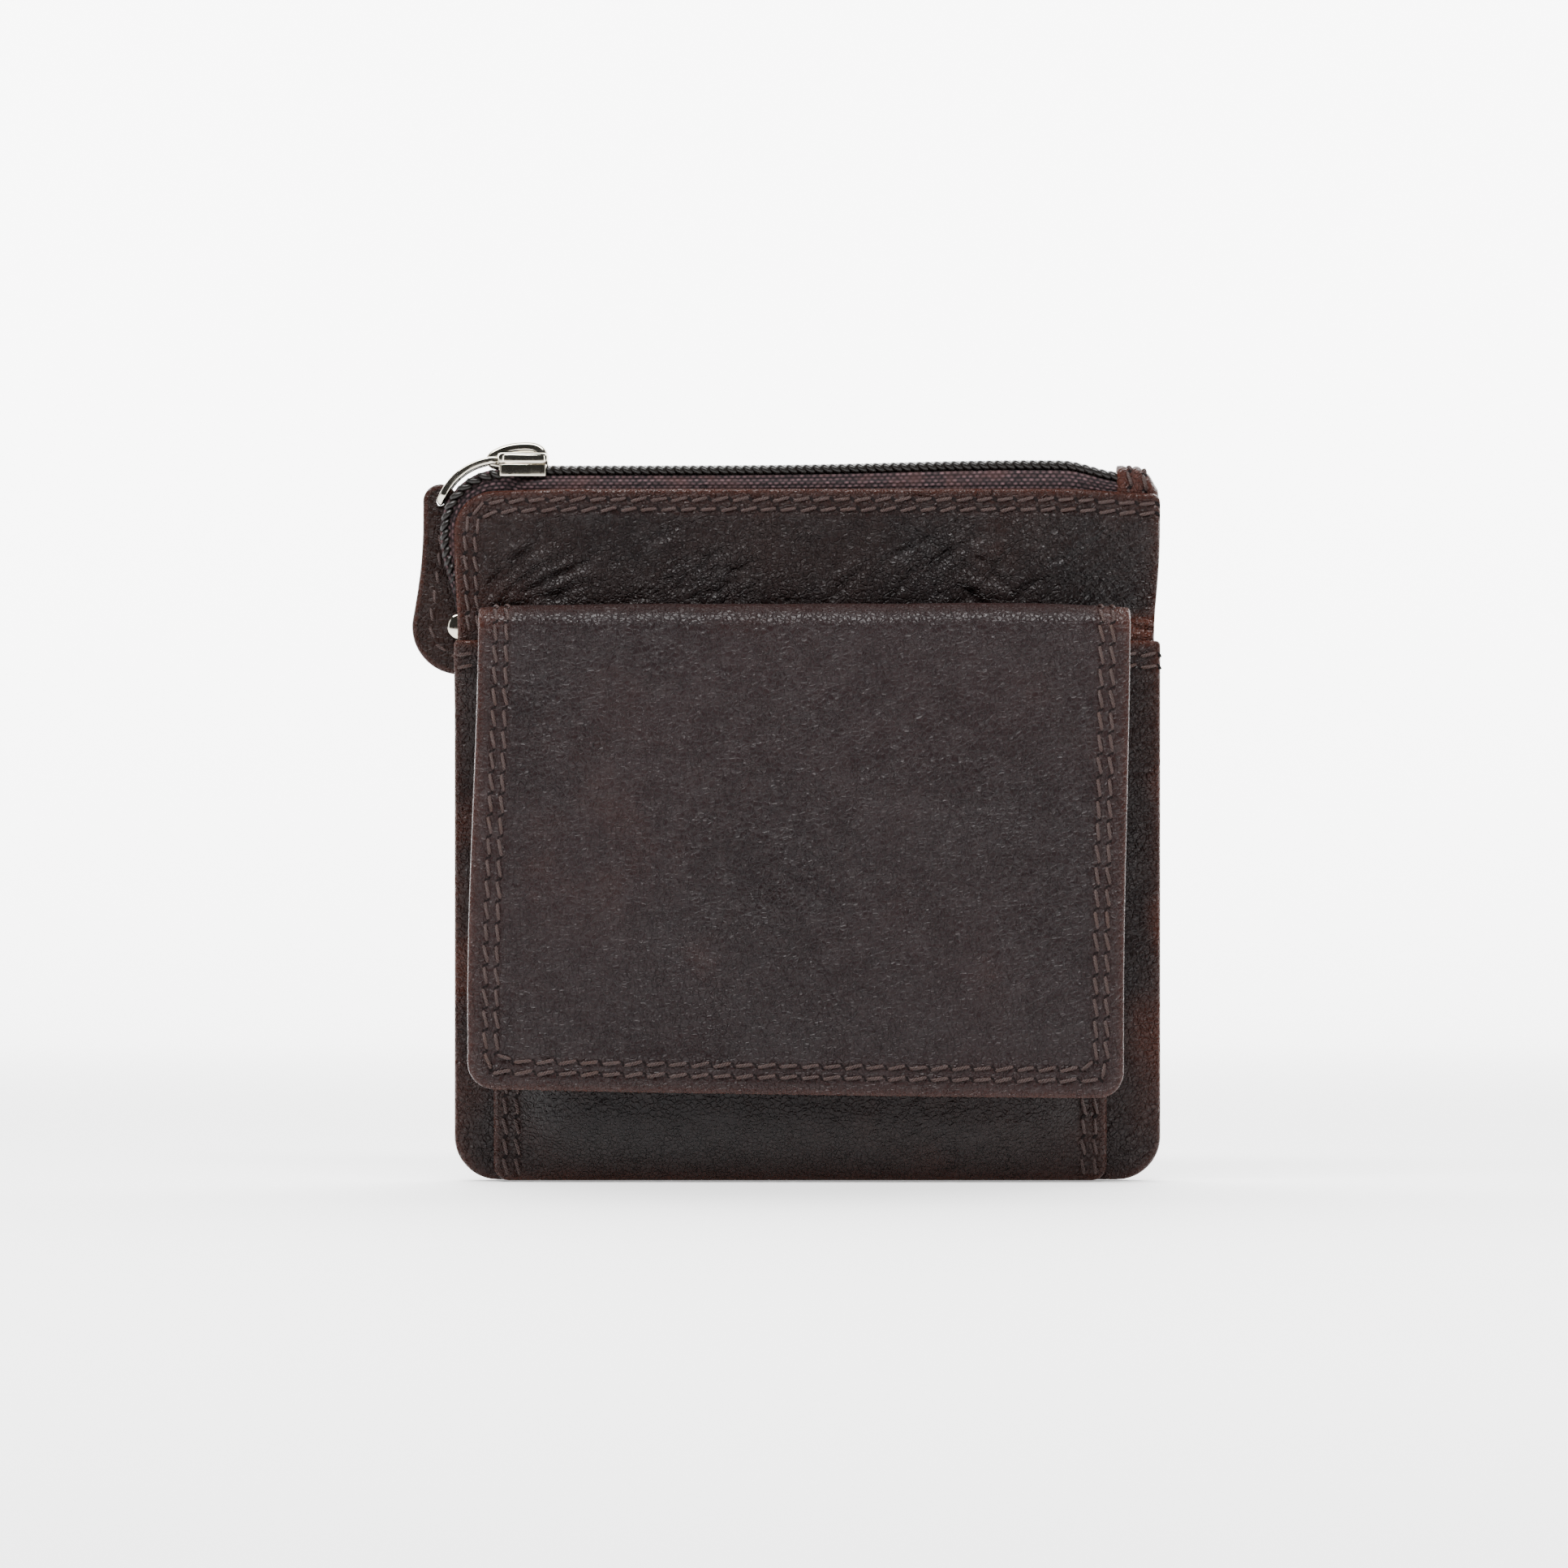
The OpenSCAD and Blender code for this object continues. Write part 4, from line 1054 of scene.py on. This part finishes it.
loop = linkPath()
closedLoop = np.concatenate((loop[-3:], loop, loop[:3]))
loopLine = smoothPath(closedLoop, len(closedLoop) * 5)[15:-11]
run = np.roll(loopLine, -1, 0) - np.roll(loopLine, 1, 0)
run /= np.linalg.norm(run, axis=1)[:, None]
chord = (farBar - nearBar) / np.linalg.norm(farBar - nearBar)
upLink = np.cross(chord, (0, 1, 0))
upLink = upLink if upLink[2] > 0 else -upLink
normal = upLink - run * (run @ upLink)[:, None]
normal /= np.linalg.norm(normal, axis=1)[:, None]
rings = tube(loopLine, (np.cross(run, normal), normal), roundedSection(link["wide"], link["thick"], 0.28))
addPiece("pullLinkLoop", rings, tubeFaces(len(loopLine), 16, 0, True), nickel, "pull_link",
         ("pull_link",))

rivetLow, rivetHigh = local("rivet_cap")
rivetX, rivetZ = (rivetLow[0] + rivetHigh[0]) / 2, (rivetLow[2] + rivetHigh[2]) / 2
tabLow, tabHigh = local("pull_tab_front")
pull = {"round": (tabHigh[0] - tabLow[0]) / 2, "top": 2.6, "layer": 1.02, "edge": 0.5, "row": 2.7,
        "hole": 0.66}
tabAxis = np.array((farBar[0] - rivetX, farBar[2] - rivetZ))
tabLong = np.linalg.norm(tabAxis)
tabAxis = tabAxis / tabLong
tabSide = np.array((-tabAxis[1], tabAxis[0]))


def tabOutline(inset, count=96):  # teardrop round the rivet and the link's bar
    big, small = pull["round"] - inset, pull["top"] - inset
    slope = math.asin((pull["round"] - pull["top"]) / tabLong)
    lower = np.linspace(math.pi - slope, math.tau + slope, count // 2)
    upper = np.linspace(slope, math.pi - slope, count // 3)
    points = [(big * math.cos(a), big * math.sin(a)) for a in lower]
    pinch = np.linspace(0, 1, 9)[1:-1]
    start, end = np.array(points[-1]), np.array((small * math.cos(slope), tabLong + small * math.sin(slope)))
    points += [tuple(lerp(start, end, f) + np.array((-0.55 * math.sin(math.pi * f), 0))) for f in pinch]
    points += [(small * math.cos(a), tabLong + small * math.sin(a)) for a in upper]
    start, end = np.array(points[-1]), np.array(points[0])
    points += [tuple(lerp(start, end, f) + np.array((0.55 * math.sin(math.pi * f), 0))) for f in pinch]
    return np.array(points)


def tabPoint(flat, y):
    x = rivetX + flat[:, 0] * -tabSide[0] + flat[:, 1] * tabAxis[0]
    z = rivetZ + flat[:, 0] * -tabSide[1] + flat[:, 1] * tabAxis[1]
    return np.stack((x, np.broadcast_to(y, x.shape), z), -1)


def makeTab(name, innerDepth, outerDepth, material, replaced):  # one leather layer with a hole
    sign = -1 if outerDepth < innerDepth else 1
    thick = abs(outerDepth - innerDepth)
    edge = pull["edge"]
    rings = []
    for inset, drop in ((0.10, 0.0), (0.0, 0.18), (0.0, thick - edge), (0.06, thick - edge * 0.55),
                        (0.2, thick - edge * 0.22), (0.45, thick - 0.04), (0.9, thick)):
        rings.append(tabPoint(tabOutline(inset), innerDepth + sign * drop))
    outline = tabOutline(0.9)
    centre = np.array((0.0, tabLong))
    holeRing = centre + (outline - centre) / np.linalg.norm(outline - centre, axis=1)[:, None] * pull["hole"]
    for f in np.linspace(0.06, 0.94, 22):
        flat = lerp(outline, holeRing, f)
        bowl = waves(flat[:, 0], flat[:, 1], 9, 91) * 0.05
        toEdge = (1 - f) * np.linalg.norm(outline - centre, axis=1)
        groove = rowGroove(toEdge - 1.4, 0.12, 0.4) if sign < 0 else 0
        rings.append(tabPoint(flat, innerDepth + sign * (thick + bowl + groove * smooth(f * 6))))
    rings.append(tabPoint(holeRing, innerDepth + sign * (thick - 0.12)))
    rings.append(tabPoint(holeRing, innerDepth))
    count = len(outline)
    faces = tubeFaces(len(rings), count, 0, True)
    if sign > 0:
        faces = [f[::-1] for f in faces]
    wearAndWeaveShading = np.concatenate([np.full(count, 0.45 if k < 6 else 0.08) for k in range(len(rings))])
    return addPiece(name, np.concatenate(rings), faces, material, "pull_tab", replaced, wearAndWeaveShading)


makeTab("pullTabFrontLayer", -0.01, -pull["layer"], pullLeather, ("pull_tab_front",))
makeTab("pullTabBackLayer", 0.01, pull["layer"], pullLeather, ("pull_tab_back",))


def tabFace(x, z, n):
    return np.stack((x, -pull["layer"] - 0.02 - n, z), -1)


rowOutline = tabPoint(tabOutline(pull["row"]), 0.0)
rowOutline = rowOutline[rowOutline[:, 2] < farBar[2] - 4.5]
turnAt = int(np.argmax(np.linalg.norm(np.diff(rowOutline[:, [0, 2]], axis=0), axis=1)))
rowOutline = np.concatenate((rowOutline[turnAt + 1:], rowOutline[:turnAt + 1])) if turnAt > 5 else rowOutline
sew("pullTab", [rowOutline[:, [0, 2]]], tabFace, 2.7, "pull_tab", ("thread_pull_tab",), 7, 1.0, 0.24)


def lathe(name, profile, centre, axisSign, material, rider, replaced):  # turned about Y
    count, rings = 32, []
    for r, h in profile:
        t = np.arange(count) * math.tau / count
        rings.append(np.stack((centre[0] + r * np.cos(t), np.full(count, centre[1] + axisSign * h),
                               centre[2] + r * np.sin(t)), -1))
    faces = tubeFaces(len(rings), count)
    if axisSign < 0:
        faces = [f[::-1] for f in faces]
    return addPiece(name, np.concatenate(rings), faces, material, rider, replaced)


rivetRadius = (rivetHigh[0] - rivetLow[0]) / 2
dome = [(rivetRadius * 0.9, -0.15), (rivetRadius, 0.0), (rivetRadius, 0.12)]
dome += [(rivetRadius * math.cos(a), 0.12 + 0.5 * math.sin(a)) for a in np.linspace(0.2, 1.5, 9)]
lathe("rivetDome", dome, (rivetX, -pull["layer"], rivetZ), -1, nickel, "pull_tab", ("rivet_cap",))
print("slider and pull ready")

stops = {"across": 1.3, "tall": 0.7, "half": 0.8, "inside": 2.2, "height": 77.0}
topClip = (-halfWidth + stops["inside"], stops["height"])
stopPlaces = {  # middle, depth from the zip plane, and the node it takes the place of
    "zipTopClipFront": (topClip, -zipWay["parted"], ("zip_top_stops",)),
    "zipTopClipBack": (topClip, zipWay["parted"], ()),
    "zipBottomClip": ((zipWay["right"] + 0.4, panelTop + 2.2), 0.0, ("zip_bottom_stop",)),
}
for name, (where, depth, replaced) in stopPlaces.items():
    ring = [(where[0] + stops["across"] * math.cos(a), where[1] + stops["tall"] * math.sin(a))
            for a in np.linspace(0, math.tau, 17)[:-1]]
    prism(name, ring, depth - stops["half"], depth + stops["half"], 0.22, nickel, "pouch",
          replaced, "y")

for node, material in (("rivet_post", nickel), ("pocket_magnet", steel), ("flap_magnet", steel)):
    carried = frame["nodes"][node]
    for holder in (carried if isinstance(carried, (list, tuple)) else [carried]):
        for meshSlot in holder.material_slots:
            meshSlot.material = material

studio = {"distance": 1.15, "aim": (-3.5, 59.0), "frameWidth": 232.8}


def addLight(name, place, aim, size, power):
    lamp = bpy.data.lights.new(name, "AREA")
    lamp.shape = "RECTANGLE"
    lamp.size, lamp.size_y = size
    lamp.energy = power
    holder = bpy.data.objects.new(name, lamp)
    bpy.context.scene.collection.objects.link(holder)
    holder.location = place
    holder.rotation_mode = "QUATERNION"
    holder.rotation_quaternion = (Vector(aim) - Vector(place)).to_track_quat("-Z", "Y")


centre = (0.0, 0.0, 0.055)
softboxes = {  # place, size and power
    "keySoftbox": ((-0.08, -0.42, 0.74), (0.9, 0.18), 20.0),
    "leftSoftbox": ((-0.65, -0.45, 0.22), (0.14, 0.5), 1.0),
    "rightSoftbox": ((0.70, -0.30, 0.25), (0.14, 0.5), 1.1),
    "backSoftbox": ((0.0, 0.5, 0.6), (0.9, 0.3), 3.0),
}
for name, (place, size, power) in softboxes.items():
    addLight(name, place, centre, size, power)

floorMat = Graph("paleFloor")
floorTone = floorMat.mix(floorMat.noise(3, 2.0), (0.84, 0.84, 0.84), (0.88, 0.88, 0.88))
away = floorMat.node("ShaderNodeSeparateXYZ", {}, {0: floorMat.place}, 1)
glow = floorMat.mix(floorMat.mask(away, 0.15, 1.4), (0.05, 0.05, 0.05), (1.0, 1.0, 1.0))
floorMaterial = floorMat.finish({"Base Color": floorTone, "Roughness": 0.7 + floorMat.noise(8, 2.0) * 0.05,
                                 "Emission Color": glow, "Emission Strength": 7.0})
sweepArc = [(0.6 + 1.1 * math.sin(a), 1.1 - 1.1 * math.cos(a)) for a in np.linspace(0, math.pi / 2, 40)]
sweepY = [(-0.8, 0)] + sweepArc + [(1.7, 4)]
points, faces = [], []
for y, z in sweepY:
    points += [(-5, y, z - 0.0002), (5, y, z - 0.0002)]
for k in range(len(sweepY) - 1):
    faces.append((2 * k, 2 * k + 1, 2 * k + 3, 2 * k + 2))
floorMesh = bpy.data.meshes.new("studioSweep")
floorMesh.from_pydata(points, [], faces)
floorMesh.shade_smooth()
floorMesh.materials.append(floorMaterial)
floor = bpy.data.objects.new("studioSweep", floorMesh)
bpy.context.scene.collection.objects.link(floor)

world = bpy.data.worlds.new("paleRoom")
world.use_nodes = True
world.node_tree.nodes["Background"].inputs[0].default_value = (1, 1, 1, 1)
world.node_tree.nodes["Background"].inputs[1].default_value = 0.05
bpy.context.scene.world = world

camera = bpy.data.cameras.new("productCamera")
camera.sensor_width = 36
camera.lens = 36 * studio["distance"] / (studio["frameWidth"] * mm)
holder = bpy.data.objects.new("productCamera", camera)
bpy.context.scene.collection.objects.link(holder)
aim = Vector((middleX + studio["aim"][0] * mm, zipPlane - 8 * mm, studio["aim"][1] * mm))
holder.location = aim + Vector((0, -studio["distance"], 0))
holder.rotation_mode = "QUATERNION"
holder.rotation_quaternion = Vector((0, 1, 0)).to_track_quat("-Z", "Y")
camera.clip_start, camera.clip_end = 0.05, 50
bpy.context.scene.camera = holder
print("studio ready")
